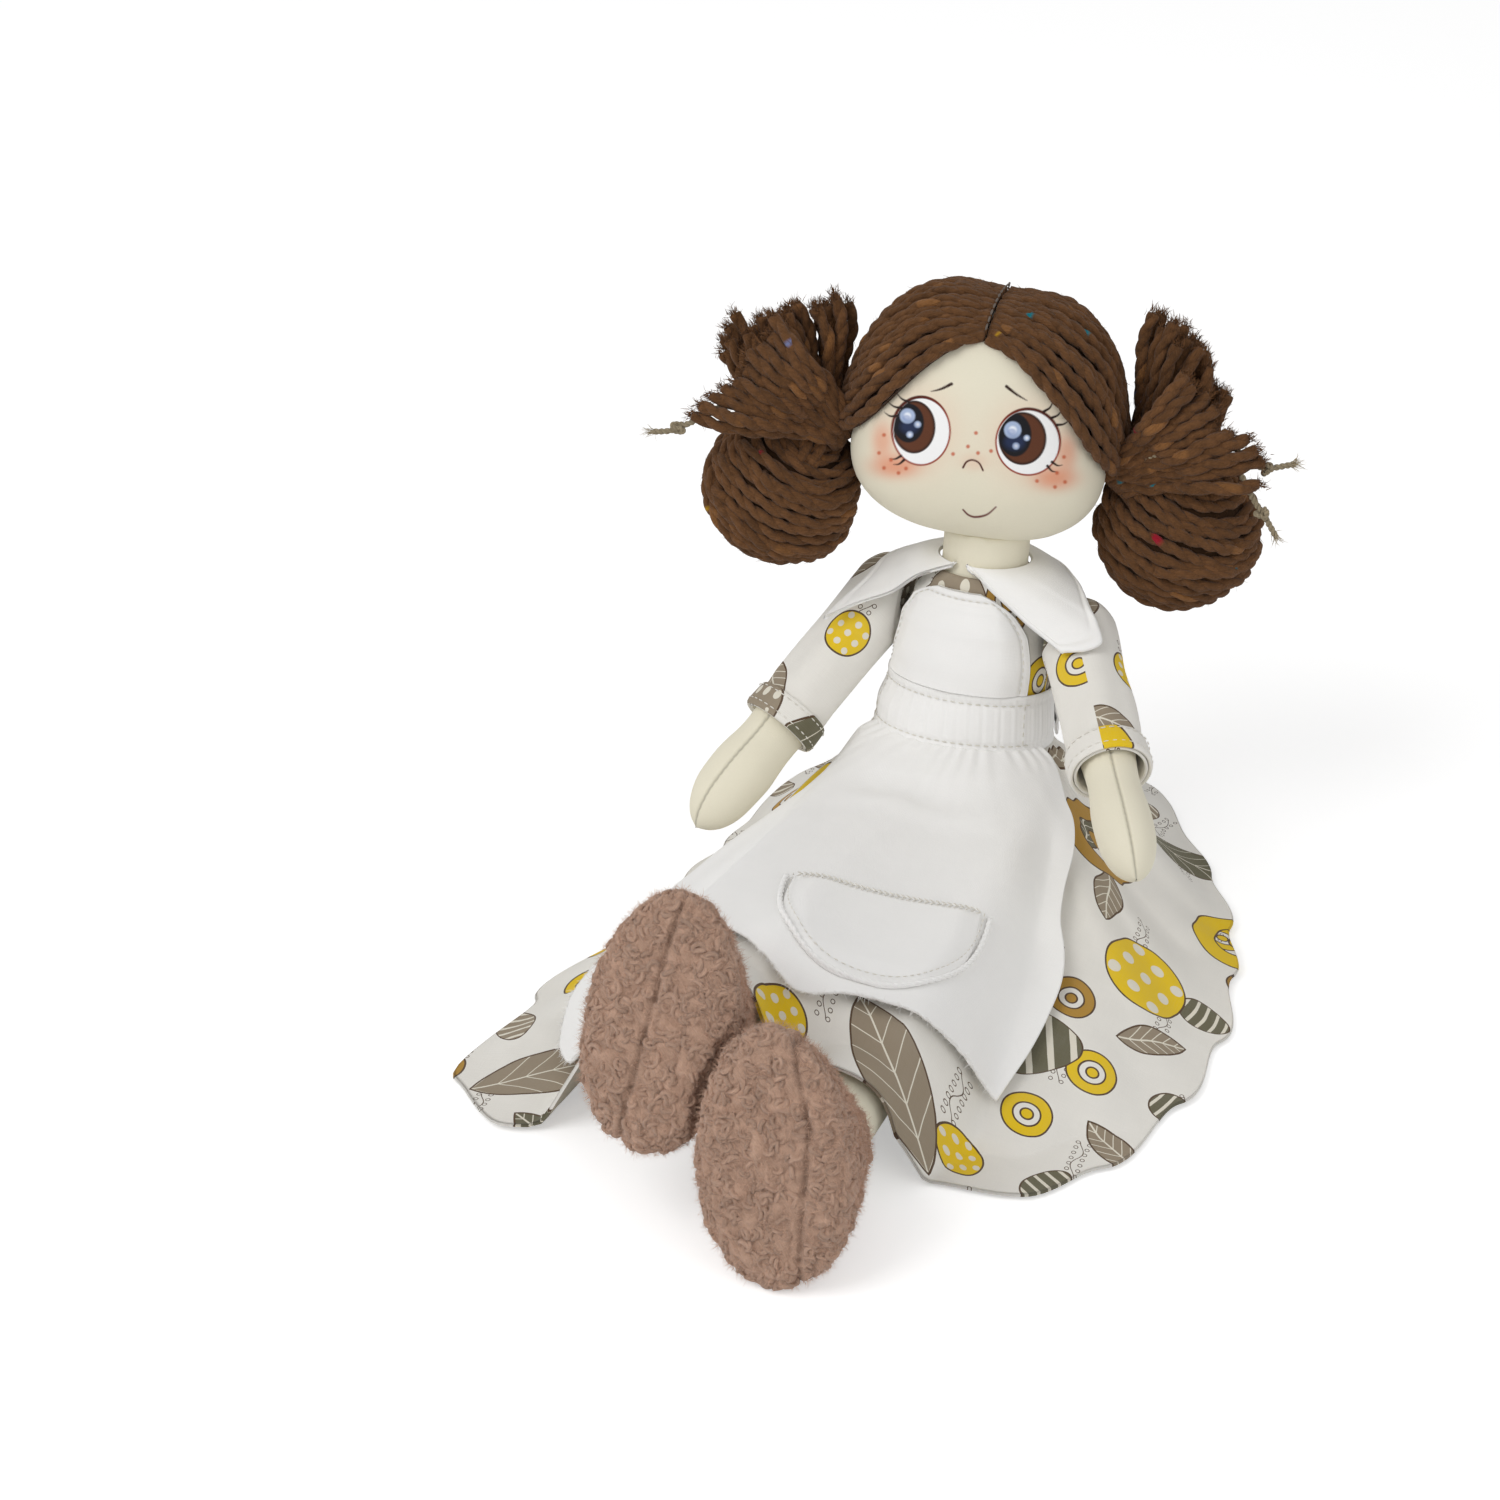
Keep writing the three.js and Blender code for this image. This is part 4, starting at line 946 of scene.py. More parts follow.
def head_reach(ways):
    """How far the head's surface is from its middle in each direction: a cushion shape, wider below."""
    near = np.zeros(ways.shape[:-1])
    far = np.full(ways.shape[:-1], 2.0 * HEAD_HALF_WIDTH)
    for _ in range(34):
        reach = (near + far) / 2
        above = ways[..., 2] > 0
        z = ways[..., 2] * reach / np.where(above, HEAD_HALF_HEIGHT, HEAD_LOW_HEIGHT)
        taper = np.where(above, CROWN_TAPER, JAW_TAPER)
        x = np.abs(ways[..., 0] * reach) / (HEAD_HALF_WIDTH * (1 - taper * z))
        y = np.abs(ways[..., 1] * reach) / HEAD_HALF_DEPTH
        inside = x ** 2.5 + y ** 2.2 + np.abs(z) ** 2.6 < 1
        near = np.where(inside, reach, near)
        far = np.where(inside, far, reach)
    return near


def on_head(ways, more):
    return ways * (head_reach(ways) + more)[..., None]


def soft_edge(distance, width=1.0):
    return np.clip(0.5 - distance / width, 0, 1)


def oval(x, y, middle, half):
    """About how far pixels are from an oval's edge; less than zero inside."""
    dx, dy = x - middle[0], y - middle[1]
    k = np.hypot(dx / half[0], dy / half[1])
    steep = np.hypot(dx / half[0] ** 2, dy / half[1] ** 2)
    return (k - 1) * k / np.maximum(steep, 1e-6)


def brush(x, y, line, width):
    """How far pixels are from a tapered brush stroke's edge; width gives its start, middle and end."""
    dense = curve_through(line, 24)
    half = np.interp(np.linspace(0, 1, 24), (0, 0.5, 1), width) / 2
    best = np.full(x.shape, 1e3)
    for k in range(23):
        a, b = dense[k], dense[k + 1]
        over, up = b - a
        t = np.clip(((x - a[0]) * over + (y - a[1]) * up) / np.sum((b - a) ** 2), 0, 1)
        away = np.hypot(x - a[0] - t * over, y - a[1] - t * up)
        best = np.minimum(best, away - half[k] - t * (half[k + 1] - half[k]))
    return best


# The painted face, in the photograph's pixels
EYES = [
    {"white": ((921, 431), (29, 34)), "iris": ((914, 427), (21.5, 26.5)),
     "pupil": ((908.5, 423), (15.5, 19.5)),
     "lights": [((907.5, 416), 7.6), ((917.6, 424.5), 3.4), ((909.8, 434.5), 3.3)], "dark": (-0.5, -1)},
    {"white": ((1028, 442), (32, 33)), "iris": ((1022.5, 438.5), (24, 26.5)),
     "pupil": ((1015, 435), (16.5, 21.5)),
     "lights": [((1012.7, 430), 8.6), ((1026.7, 438), 3), ((1016, 446), 3.5)], "dark": (0.45, -1)},
]
LASHES = [
    [(909, 402), (902, 399), (896.5, 393)], [(901.5, 408), (894, 406.5), (887.5, 401.5)],
    [(897, 416), (890, 416), (884, 412)], [(901, 456), (895, 459), (889.5, 458.5)],
    [(904, 460), (899, 464), (893.5, 464.5)],
    [(1044, 411.5), (1050, 407.5), (1053.5, 400)], [(1051.5, 418), (1058, 415), (1062.5, 408.5)],
    [(1057, 425), (1064, 424), (1070, 419.5)], [(1052, 462), (1057.5, 465.5), (1062.5, 465)],
    [(1047.5, 466), (1052, 471), (1057.5, 472)],
]
BROWS = [[(931, 391.5), (941, 389), (951.5, 384)], [(1006.5, 386.5), (1016, 394), (1027, 400.6)]]
NOSE = [(963, 467.6), (966.5, 462), (972.5, 460), (979, 463), (983, 470.4)]
MOUTH = [(963, 509.7), (968.5, 515), (976, 517), (987, 514.5), (996, 507)]
FRECKLES = [
    (976, 433), (968, 446.5), (953, 454), (978, 453), (991, 451), (884, 435), (879, 453), (891, 460),
    (884, 468), (898.5, 473), (906, 468.5), (1064, 457), (1057, 473), (1037, 481), (1065, 482), (1055, 487),
]
BLUSH = [
    ((895, 466), (24, 12), 0.8), ((882, 441), (10, 18), 0.6), ((1055, 478), (22, 12), 0.8),
    ((1067, 453), (10, 18), 0.6), ((921, 431), (37, 42), 0.25), ((1028, 442), (40, 41), 0.25),
    ((974, 462), (14, 9), 0.22),
]
SKIN_COLOUR = colour(233, 227, 206)


def paint_face(points):
    x, y = pixel_of(points)
    painted = np.broadcast_to(SKIN_COLOUR, (*x.shape, 3)).copy()

    def lay(mask, shade):
        mask = mask[..., None]
        painted[...] = painted * (1 - mask) + np.asarray(shade) * mask

    for middle, half, strength in BLUSH:
        k = np.hypot((x - middle[0]) / half[0], (y - middle[1]) / half[1])
        lay(strength * np.exp(-(k ** 2.6) * 0.9), colour(226, 142, 106))
    for eye in EYES:
        white = oval(x, y, *eye["white"])
        lay(soft_edge(white), colour(247, 247, 247))
        (white_x, white_y), (dark_x, dark_y) = eye["white"][0], eye["dark"]
        rise = np.clip(((x - white_x) * dark_x + (y - white_y) * dark_y) / 34, 0, 1)
        rim = colour(150, 62, 44) * (1 - 0.75 * rise[..., None])
        lay(soft_edge(np.abs(white) - 0.9 - 0.7 * rise, 0.9), rim)
        iris = oval(x, y, *eye["iris"])
        iris = np.maximum(iris, white + 1.6)
        lay(soft_edge(iris), colour(44, 24, 16))
        lay(soft_edge(iris + 2.2, 2.5), colour(92, 52, 32))
        pupil = np.maximum(oval(x, y, *eye["pupil"]), white + 1.8)
        lay(soft_edge(pupil, 1.4), colour(14, 14, 20))
        (mx, my), r = eye["lights"][0]
        for place, radius in eye["lights"]:
            glint = oval(x, y, place, (radius, radius))
            lay(soft_edge(glint, 1.6) * 0.9, colour(176, 194, 226))
            lay(soft_edge(glint + radius * 0.55, 2.4), colour(238, 243, 252))
        lay(soft_edge(oval(x, y, (mx - 1, my + 1.5), (r * 0.5, r * 0.35)), 2.0) * 0.55, colour(110, 135, 190))
        lay(soft_edge(oval(x, y, (mx + 2, my + r * 1.4), (r * 1.2, r * 0.9)), 6.0) * 0.3, colour(60, 80, 130))
    for line in LASHES:
        lay(soft_edge(brush(x, y, line, (2.8, 1.8, 0.5)), 0.9), colour(38, 24, 20))
    for line, width in zip(BROWS, ((0.8, 2.4, 3.2), (3.2, 2.4, 0.8))):
        lay(soft_edge(brush(x, y, line, width), 0.9), colour(52, 32, 26))
    lay(soft_edge(brush(x, y, NOSE, (2.0, 1.8, 1.8)), 0.9), colour(84, 42, 36))
    lay(soft_edge(brush(x, y, MOUTH, (1.6, 2.2, 1.4)), 0.9), colour(104, 44, 40))
    for place in FRECKLES:
        lay(soft_edge(oval(x, y, place, (1.9, 1.9)), 1.4) * 0.85, colour(196, 92, 56))
    return painted


# The painted side of the head has a finer mesh, out to this angle from its front, in degrees
FACE_ANGLE = 74


def make_head():
    near = np.linspace(0, math.radians(FACE_ANGLE), 150)
    far = np.linspace(math.radians(FACE_ANGLE), math.pi, 56)[1:]
    opening = np.concatenate([near, far])
    t, a = np.meshgrid(turns_of(720), opening, indexing="ij")
    ways = np.stack([np.sin(a) * np.cos(t), -np.cos(a), np.sin(a) * np.sin(t)], -1)
    local = on_head(ways, 0.0)
    puff = noise(local, 16.0) * 0.35 + noise(local, 6.0, 3.0) * 0.08
    seam = hump(local[..., 1], 0.0, 0.7)
    local = local + ways * (puff - seam * 0.5)[..., None]
    world = placed(local, HEAD)
    front = smoothstep(-local[..., 1], 2.0, 8.0)[..., None]
    tint = paint_face(world) * front + SKIN_COLOUR * (1 - front)
    shape = Shape().grid(world, round_uv(t, a * 30, 30), wrap=True, tint=tint.reshape(-1, 3))
    head = finished(shape.build("head_cloth", SKIN, weld=True), "head", "skin_cotton", "head")


make_head()

# Hair
HAIR_COLOUR = colour(116, 80, 50)
HAIRLINE_FRONT = 49.4
HAIRLINE_BACK = 212
PARTING_ASIDE = -0.174
FRONT_SWEEP = (-0.34, -0.25, -0.88)
SWEEP_POWER = 1.26
GOLDEN = colour(150, 104, 62)
FLECKS = [colour(178, 32, 52), colour(206, 158, 40), colour(140, 150, 200), colour(26, 132, 148)]


def gather_way(side):
    return unit(np.array([side * GATHER[0], GATHER[1], GATHER[2]]))


def parting_way(back):
    """Where the parting lies at an angle back from the face; in front it stands to the doll's right."""
    aside = PARTING_ASIDE * np.maximum(0, np.cos(back))
    return unit(np.stack([aside, -np.cos(back), np.sin(back)], -1))


def strand_way(side, back, share):
    """The direction from the head's middle of a place on a strand between the parting and the gather."""
    back, share = np.broadcast_arrays(back, share)
    start = parting_way(back)
    goal = gather_way(side)
    angle = np.arccos(np.clip(start @ goal, -1, 1))[..., None]
    s = share[..., None]
    way = unit(start * np.sin((1 - s) * angle) + goal * np.sin(s * angle))
    front = np.maximum(0, np.cos(back)) ** 2 * np.sin(math.pi * share ** SWEEP_POWER)
    return unit(way + np.multiply(FRONT_SWEEP, (side, 1, 1)) * front[..., None])


def yarn_tints(rng, strands, steps, chance):
    """Brown that drifts along each strand, with golden stretches and a few bright flecks spun in."""
    level = rng.normal(1.0, 0.1, (strands, 1, 1)) + rng.normal(0, 0.08, (strands, steps, 1))
    tints = HAIR_COLOUR * level
    for s in range(strands):
        if rng.random() < 0.35:
            k = rng.integers(2, steps - 12)
            tints[s, k:k + rng.integers(4, 10)] = GOLDEN * rng.uniform(0.8, 1.1)
        if rng.random() < chance:
            k = rng.integers(2, steps - 4)
            tints[s, k:k + rng.integers(1, 3)] = FLECKS[rng.integers(len(FLECKS))]
    return tints


def yarn(shape, paths, radius, rng, fuzz, chance):
    """Soft two-ply yarn with uneven plies and loose fibres along strands laid out (strands, steps, 3)."""
    strands, steps = paths.shape[:2]
    phase = rng.uniform(0, 2 * math.pi, (strands, 1))
    ply = plied(paths, radius * 0.32, YARN_PITCH * rng.uniform(0.8, 1.3, (2 * strands, 1))[:strands], phase)
    uneven = 1 + 0.14 * noise(ply, 5.0, 5.0) + 0.05 * noise(ply, 1.7, 9.0)
    tints = np.concatenate([yarn_tints(rng, strands, steps, chance / 2) for _ in range(PLIES)])
    tubes(shape, ply, radius * 0.74 * uneven, sides=8, tint=tints)
    count = strands * fuzz
    s, k = rng.integers(0, strands, count), rng.integers(1, steps - 1, count)
    out = unit(rng.normal(size=(count, 3)))
    along = unit(paths[s, k] - paths[s, k - 1])
    roots = paths[s, k] + out * radius * 0.88
    fibres(shape, roots, out * 0.5 + along * rng.choice([-1, 1], (count, 1)), rng.uniform(1.0, 3.0, count),
           0.13, rng, tint=HAIR_COLOUR * rng.uniform(0.85, 1.5, (count, 1)))


def make_hair(key, side):
    rng = np.random.default_rng(41 if side > 0 else 42)
    shape = Shape()
    u, v = shares(60, 40)
    back = np.radians(HAIRLINE_FRONT + u * (HAIRLINE_BACK - HAIRLINE_FRONT))
    cap = placed(on_head(strand_way(side, back, 0.01 + 0.9 * v), 1.9), HEAD)
    # A dark sheet under the strands: painted shade that shows in the gaps between them
    cloth(shape, cap, 1.2, np.stack([u * 90, v * 60], -1), flip=side > 0, tint=HAIR_COLOUR * 0.35)
    strands, steps = 31, 84
    for layer, count in ((0, strands), (1, strands - 2)):
        place = (np.arange(count) + 0.5 * layer + 0.15) / strands + rng.normal(0, 0.004, count)
        back = np.radians(HAIRLINE_FRONT + place * (HAIRLINE_BACK - HAIRLINE_FRONT))[:, None]
        share = np.linspace(0.012, 0.95, steps)[None] + np.zeros((count, 1))
        ways = strand_way(side, back, share)
        height = 1.2 + 1.9 * smoothstep(share, 0.0, 0.25) + layer * 0.9 * smoothstep(share, 0.05, 0.4)
        height = height + 1.6 * smoothstep(share, 0.75, 0.95) * rng.uniform(0, 1, (count, 1))
        paths = on_head(ways, height)
        sway = drift(paths, 14.0, 7.3, layer)
        paths = paths + sway * (0.75 * np.sin(math.pi * np.clip(share, 0, 1)))[..., None]
        yarn(shape, placed(paths, HEAD), YARN, rng, fuzz=60, chance=0.16)
    finished(shape.build(f"hair_strands_{key}", HAIR), "head", "hair_yarn", f"hair_{key}")


TASSEL_INWARD = {"left": 12.0, "right": 8.0}
TASSEL_LONGER = {"left": 0.06, "right": -0.34}
# A front strand's way over the tie: heights along the bunch and places in front of its middle
COVER_ROUTE = [(-5, -7), (-1, -11.5), (4, -14.5), (9.5, -16.5), (16, -21.5), (24, -22.5), (33, -19.5)]
COVER_SLOPES = (-0.18, 0.62)
COVER_STRANDS = 10
COVER_SPACING = 1.3
TASSEL_STRANDS = 30
CUT_END_FIBRES = 90
BUN_SEAM = {"left": 2.4, "right": 0.8}


def bunch_matrix(key, side):
    way = gather_way(side)
    start = on_head(way, np.array(BUNCH_OUT))
    outward = math.radians(TASSEL[key][1])
    axis = (side * math.sin(outward), 0, math.cos(outward))
    return HEAD @ Matrix.Translation(start) @ between_ways(axis)


def make_tassel(key, side):
    """Cut ends that fan out from the tie, and front strands that come down over the tie and its string."""
    rng = np.random.default_rng(51 if side > 0 else 52)
    long = TASSEL[key][0]
    place = bunch_matrix(key, side)
    strands, steps = TASSEL_STRANDS, 46
    index = np.arange(strands)
    radius = np.sqrt((index + 0.5) / strands)
    turn = index * (math.pi * (3 - math.sqrt(5)))
    boxy = 1 / np.maximum(np.abs(np.cos(turn)), np.abs(np.sin(turn))) ** 0.7
    share = np.linspace(0, 1, steps)[None]
    spread = smoothstep(share, 0.1, 0.85)
    inner = 3.7
    fan_x = TASSEL_HALF_WIDTH - YARN * 1.4
    fan_y = TASSEL_HALF_DEPTH - YARN
    x = (radius * boxy * np.cos(turn))[:, None] * (inner + (fan_x - inner) * spread)
    y = (radius * boxy * np.sin(turn))[:, None] * (inner + (fan_y - inner) * spread)
    longer = 1 + TASSEL_LONGER[key] * (-side * x[:, -1:] / fan_x)
    length = long * (0.84 + 0.16 * rng.random((strands, 1))) * longer
    arc = np.sqrt(np.maximum(1 - 0.15 * (radius[:, None] * spread) ** 2, 0.2))
    z = -2 + (length + 2) * share * arc
    x = x - side * TASSEL_INWARD[key] * share ** 2
    paths = np.stack([x, y, z], -1)
    paths = paths + drift(paths, 11.0, 5.1, side) * (2.4 * share ** 1.2)[..., None]

    route = np.array(COVER_ROUTE, float)
    slopes = np.linspace(*COVER_SLOPES, COVER_STRANDS)
    cover = []
    for k, slope in enumerate(slopes):
        reach = rng.uniform(0.86, 1.04)
        aside = (k - (COVER_STRANDS - 1) / 2) * COVER_SPACING + slope * np.maximum(route[:, 0], 0)
        line = np.stack([side * aside, route[:, 1] * rng.uniform(0.94, 1.06), route[:, 0] * reach], -1)
        cover.append(curve_through(line, steps))
    cover = np.array(cover)
    cover = cover + drift(cover, 8.0, 3.1, side) * 0.9

    shape = Shape()
    every = np.concatenate([paths, cover])
    yarn(shape, placed(every, place), YARN * 1.06, rng, fuzz=70, chance=0.3)
    ends = every[:, -1]
    ways = unit(every[:, -1] - every[:, -5])
    count = len(every) * CUT_END_FIBRES
    roots = np.repeat(ends, CUT_END_FIBRES, axis=0) + rng.normal(size=(count, 3)) * 0.85
    out = np.repeat(ways, CUT_END_FIBRES, axis=0) + rng.normal(size=(count, 3)) * 0.45
    fibres(shape, placed(roots, place), placed(out, place) - placed(np.zeros(3), place),
           rng.uniform(0.8, 2.6, count), 0.26, rng, tint=HAIR_COLOUR * rng.uniform(0.8, 1.3, (count, 1)))
    finished(shape.build(f"tassel_strands_{key}", HAIR), "head", "hair_yarn", f"tassel_{key}")


BUNS = {
    "left": {"radius": 24.5, "half_depth": 19, "aside": 62.5, "below": 22.8, "eye": (0.149, -0.427, 0.892)},
    "right": {"radius": 23.5, "half_depth": 19, "aside": 56, "below": 31, "eye": (0.26, -0.445, 0.857)},
}
BUN_BEHIND = 6
BUN_RINGS = 17
BUN_FIRST_RING = 15
BUN_RING_STEP = 9.6
BUN_LOOSE_RINGS = 8


def make_bun(key, side):
    """Yarn wound round and round an eye that faces up and forward, looser on top, with loops over the eye."""
    rng = np.random.default_rng(61 if side > 0 else 62)
    bun = BUNS[key]
    middle = np.array([side * bun["aside"], BUN_BEHIND, -bun["below"]])
    half = np.array([bun["radius"], bun["half_depth"], bun["radius"]])
    turn_to = np.array(between_ways(unit(bun["eye"])))[:3, :3]
    shape = Shape()
    polar, around = np.meshgrid(np.linspace(0, math.pi, 30), turns_of(40), indexing="ij")
    core = middle + directions(polar, around).transpose(1, 0, 2) * (half - 2.9)
    # A dark core under the wound strands: painted shade that shows between them
    shape.grid(placed(core, HEAD), wrap=True, flip=True, tint=HAIR_COLOUR * 0.3)
    t = np.linspace(0, 1, 96)

    def strand(polar, around, lift, wobble):
        ways = directions(polar, around) @ turn_to.T
        ways = unit(ways + wobble * drift(ways * 20, 12.0, 1, rng.uniform(0, 20)))
        tucked = 3.0 * hump(np.minimum(t, 1 - t), 0, 0.03)
        return middle + ways * (half - YARN + (lift - tucked)[:, None])

    paths = []
    for k in range(BUN_RINGS):
        polar = np.radians(BUN_FIRST_RING + BUN_RING_STEP * (k + 0.5 * t)) + rng.normal(0, 0.012)
        around = 2 * math.pi * 1.03 * t + BUN_SEAM[key] + rng.uniform(-0.4, 0.4)
        paths.append(strand(polar, around, rng.uniform(-0.3, 0.3), 0.07))
    for _ in range(BUN_LOOSE_RINGS):
        polar = np.radians(rng.uniform(28, 118) + 8 * np.sin(math.pi * t) * rng.choice([-1, 1]))
        around = 2 * math.pi * rng.uniform(0.45, 0.8) * t + rng.uniform(0, 2 * math.pi)
        paths.append(strand(polar, around, 1.2, 0.12))
    for away in (-0.14, 0.02):
        over = np.radians(32) * (2 * t - 1)
        polar = np.hypot(over, away)
        around = np.arctan2(away, over) + BUN_SEAM[key] + 0.9
        paths.append(strand(polar, around, 2.4 * np.cos(math.pi * (t - 0.5)), 0.02))
    yarn(shape, placed(np.array(paths), HEAD), YARN, rng, fuzz=90, chance=0.3)
    finished(shape.build(f"bun_strands_{key}", HAIR), "head", "hair_yarn", f"bun_{key}")


def make_tie(key, side):
    """Three turns of string round the bunch, between the tassel and the bun."""
    t = np.linspace(0, 1, 240)
    turn = 2 * math.pi * 3 * t
    radius = STALK + 0.3 + STRING * 0.85
    local = np.stack([radius * np.cos(turn), radius * np.sin(turn),
                      TIE_FROM + STRING + (TIE_WIDTH - 2 * STRING) * t], -1)
    line = placed(local, bunch_matrix(key, side))
    shape = Shape()
    tubes(shape, plied(line[None], STRING * 0.4, STRING_PITCH), STRING * 0.55, sides=6, tint=STRING_COLOUR)
    finished(shape.build(f"tie_turns_{key}", TWINE), "head", "tie_string", f"tie_{key}")


def make_parting():
    back = np.radians(HAIRLINE_FRONT + np.linspace(0, 0.62, 60) * (HAIRLINE_BACK - HAIRLINE_FRONT))
    line = placed(on_head(parting_way(back), 4.1), HEAD)
    shape = Shape()
    stitches(shape, line, *PARTING_STITCH, tint=colour(196, 190, 186))
    finished(shape.build("parting_thread", GREY_THREAD), "head", "tie_string", "parting_stitch")


for key, side in SIDES.items():
    make_hair(key, side)
    make_tassel(key, side)
    make_bun(key, side)
    make_tie(key, side)
make_parting()

# Trunk
TRUNK_SHARES = [
    (0, 1.14, 1.08), (0.14, 1.12, 1.06), (0.34, 0.96, 0.93), (0.5, 0.93, 0.9), (0.66, 0.97, 0.97),
    (0.78, 0.94, 0.92), (0.87, 0.84, 0.84), (0.94, 0.68, 0.76), (1, 0.553, 0.7027),
]
WAIST_PUFF = [(20, 3.5), (27, 5), (34, 4.6), (42, 2.6), (50, 0.6), (60, 0), (80, 0)]
PUFF_TURN = -150


def waist_puff(turn, height):
    """How much fuller the dressed waist is on the doll's right front side."""
    toward = np.maximum(0, np.cos(turn - math.radians(PUFF_TURN)))
    return between(WAIST_PUFF, np.clip(height, *np.array(WAIST_PUFF)[[0, -1], 0])) * toward ** 1.5


def on_trunk(turn, height, more):
    """A place on the trunk, in its own axes: turn is counted from its left, -90 degrees in front."""
    turn, height = np.broadcast_arrays(turn, height)
    share = height / NECK_BASE
    more = more + waist_puff(turn, height)
    wide = between(TRUNK_SHARES, share, 1) * CHEST_HALF_WIDTH + more
    deep = between(TRUNK_SHARES, share, 2) * CHEST_HALF_DEPTH + more
    return np.stack([wide * np.cos(turn), deep * np.sin(turn), height], -1)


def soften(name, node, voxel, rounds, material, change=None, tint=(1, 1, 1)):
    """A finer, rounder copy of a node's solid, with its points and normals in millimetres.

    change takes those and gives back the moved points and their colours.
    """
    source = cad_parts[node]
    rough = bpy.data.objects.new(f"{name}_rough", source.data.copy())
    scene.collection.objects.link(rough)
    fine = rough.modifiers.new("fine", "REMESH")
    fine.mode = "VOXEL"
    fine.voxel_size = voxel * MM
    relax = rough.modifiers.new("relax", "SMOOTH")
    relax.factor = 0.5
    relax.iterations = rounds
    graph = bpy.context.evaluated_depsgraph_get()
    mesh = bpy.data.meshes.new_from_object(rough.evaluated_get(graph))
    bpy.data.objects.remove(rough)
    count = len(mesh.vertices)
    points = np.empty(count * 3, np.float32)
    mesh.vertices.foreach_get("co", points)
    points = points.reshape(-1, 3) / MM
    normals = np.empty(count * 3, np.float32)
    mesh.vertices.foreach_get("normal", normals)
    normals = normals.reshape(-1, 3)
    loops = np.empty(len(mesh.loops), np.int32)
    mesh.loops.foreach_get("vertex_index", loops)
    totals = np.empty(len(mesh.polygons), np.int32)
    mesh.polygons.foreach_get("loop_total", totals)
    starts = np.concatenate([[0], np.cumsum(totals)[:-1]])
    bpy.data.meshes.remove(mesh)
    shape = Shape()
    if change:
        points, tint = change(points, normals)
    uv = points[:, [0, 2]] + points[:, [1, 1]] * 0.7
    shape.points.append(points)
    shape.colours.append(np.broadcast_to(tint, (count, 3)))
    shape.count = count
    for size in np.unique(totals):
        rows = starts[totals == size][:, None] + np.arange(size)
        faces = loops[rows]
        shape.faces.append(faces)
        shape.uvs.append(uv[faces].reshape(-1, 2))
        shape.slots.append(np.zeros(len(faces), int))
    return shape.build(name, material), points, normals


def fuller_waist(points, normals):
    """The stuffed body under the dress, fuller where the dressed waist is."""
    local = placed(points, TRUNK.inverted())
    height = local[:, 2]
    puff = waist_puff(np.arctan2(local[:, 1], local[:, 0]), height) * smoothstep(height, 24, 32)
    return points + normals * puff[:, None], SKIN_COLOUR


def make_trunk():
    torso = soften("torso_cloth", "torso", 0.9, 6, SKIN, fuller_waist)[0]
    finished(torso, "trunk", "skin_cotton", "torso")

    t, h = np.meshgrid(turns_of(240), np.linspace(BODICE_LOW, BODICE_TOP, 80), indexing="ij")
    points = on_trunk(t, h, BODICE_OUT + noise(on_trunk(t, h, 0.0), 12.0) * 0.5)
    shape = Shape()
    cloth(shape, placed(points, TRUNK), BODICE_CLOTH, round_uv(t, h, CHEST_HALF_WIDTH), wrap=True)
    dress = finished(shape.build("bodice_cloth", PRINT), "trunk", "printed_cotton", "bodice")


make_trunk()


# The band's rows of stitches, in shares of its height, and the ends of its front part, in degrees
BAND_ROWS = (0.14, 0.86)
BAND_ENDS = (-31, -149)


def make_waistband():
    """The apron's shirred band: fine upright gathers between two rows of stitches."""
    t, h = np.meshgrid(turns_of(1080), np.linspace(BODICE_LOW, WAIST_HIGH, 48), indexing="ij")
    share = (h - BODICE_LOW) / (WAIST_HIGH - BODICE_LOW)
    pucker = np.sin(t * 47 + 1.3 * np.sin(t * 7) + share * 1.2) * 0.5 + np.sin(t * 83 + share * 2) * 0.25
    held = hump(share, BAND_ROWS[0], 0.05) + hump(share, BAND_ROWS[1], 0.05)
    puff = 0.3 * np.sin(math.pi * np.clip((share - 0.14) / 0.72, 0, 1)) - 0.3 * held
    soft = noise(on_trunk(t, h, 0.0), 9.0, 3.0) * 0.35
    points = on_trunk(t, h, BAND_OUT + puff + soft + 0.1 * pucker)
    shape = Shape()
    cloth(shape, placed(points, TRUNK), BAND_CLOTH, round_uv(t, h, 34), wrap=True)
    band = finished(shape.build("waistband_cloth", LINEN), "trunk", "white_linen", "apron_waistband")
    thread = Shape()
    front = np.linspace(math.radians(-155), math.radians(-25), 260)
    for share in BAND_ROWS:
        line = on_trunk(front, BODICE_LOW + share * (WAIST_HIGH - BODICE_LOW), BAND_OUT + 0.1)
        stitches(thread, placed(line, TRUNK), *BAND_STITCH)
    for turn in BAND_ENDS:
        height = np.linspace(BODICE_LOW + 2, WAIST_HIGH - 2, 60)
        line = on_trunk(math.radians(turn), height, BODICE_OUT + 0.5 + BAND_DEPTH)
        stitches(thread, placed(line, TRUNK), *BAND_STITCH)
    finished(thread.build("waistband_stitches", THREAD), "trunk", "white_linen")


make_waistband()

BIB_RIGHT = (80, 63)
BIB_LEFT = 60
BIB_WIDTH = 46
BIB_INSET = 2.2


def bib_point(u, v, more):
    """A place on the bib: its half angle narrows towards the top as a round end does."""
    height = WAIST_HIGH + 0.6 + v * (BIB_TOP - WAIST_HIGH - 0.6)
    right = BIB_RIGHT[0] + (BIB_RIGHT[1] - BIB_RIGHT[0]) * smoothstep(v, 0, 0.35)
    aside = -right + (right + BIB_LEFT) * u
    turn = -math.pi / 2 + np.radians(aside) * np.sqrt(1 - (0.97 * v) ** 4)
    return on_trunk(turn, height, more)


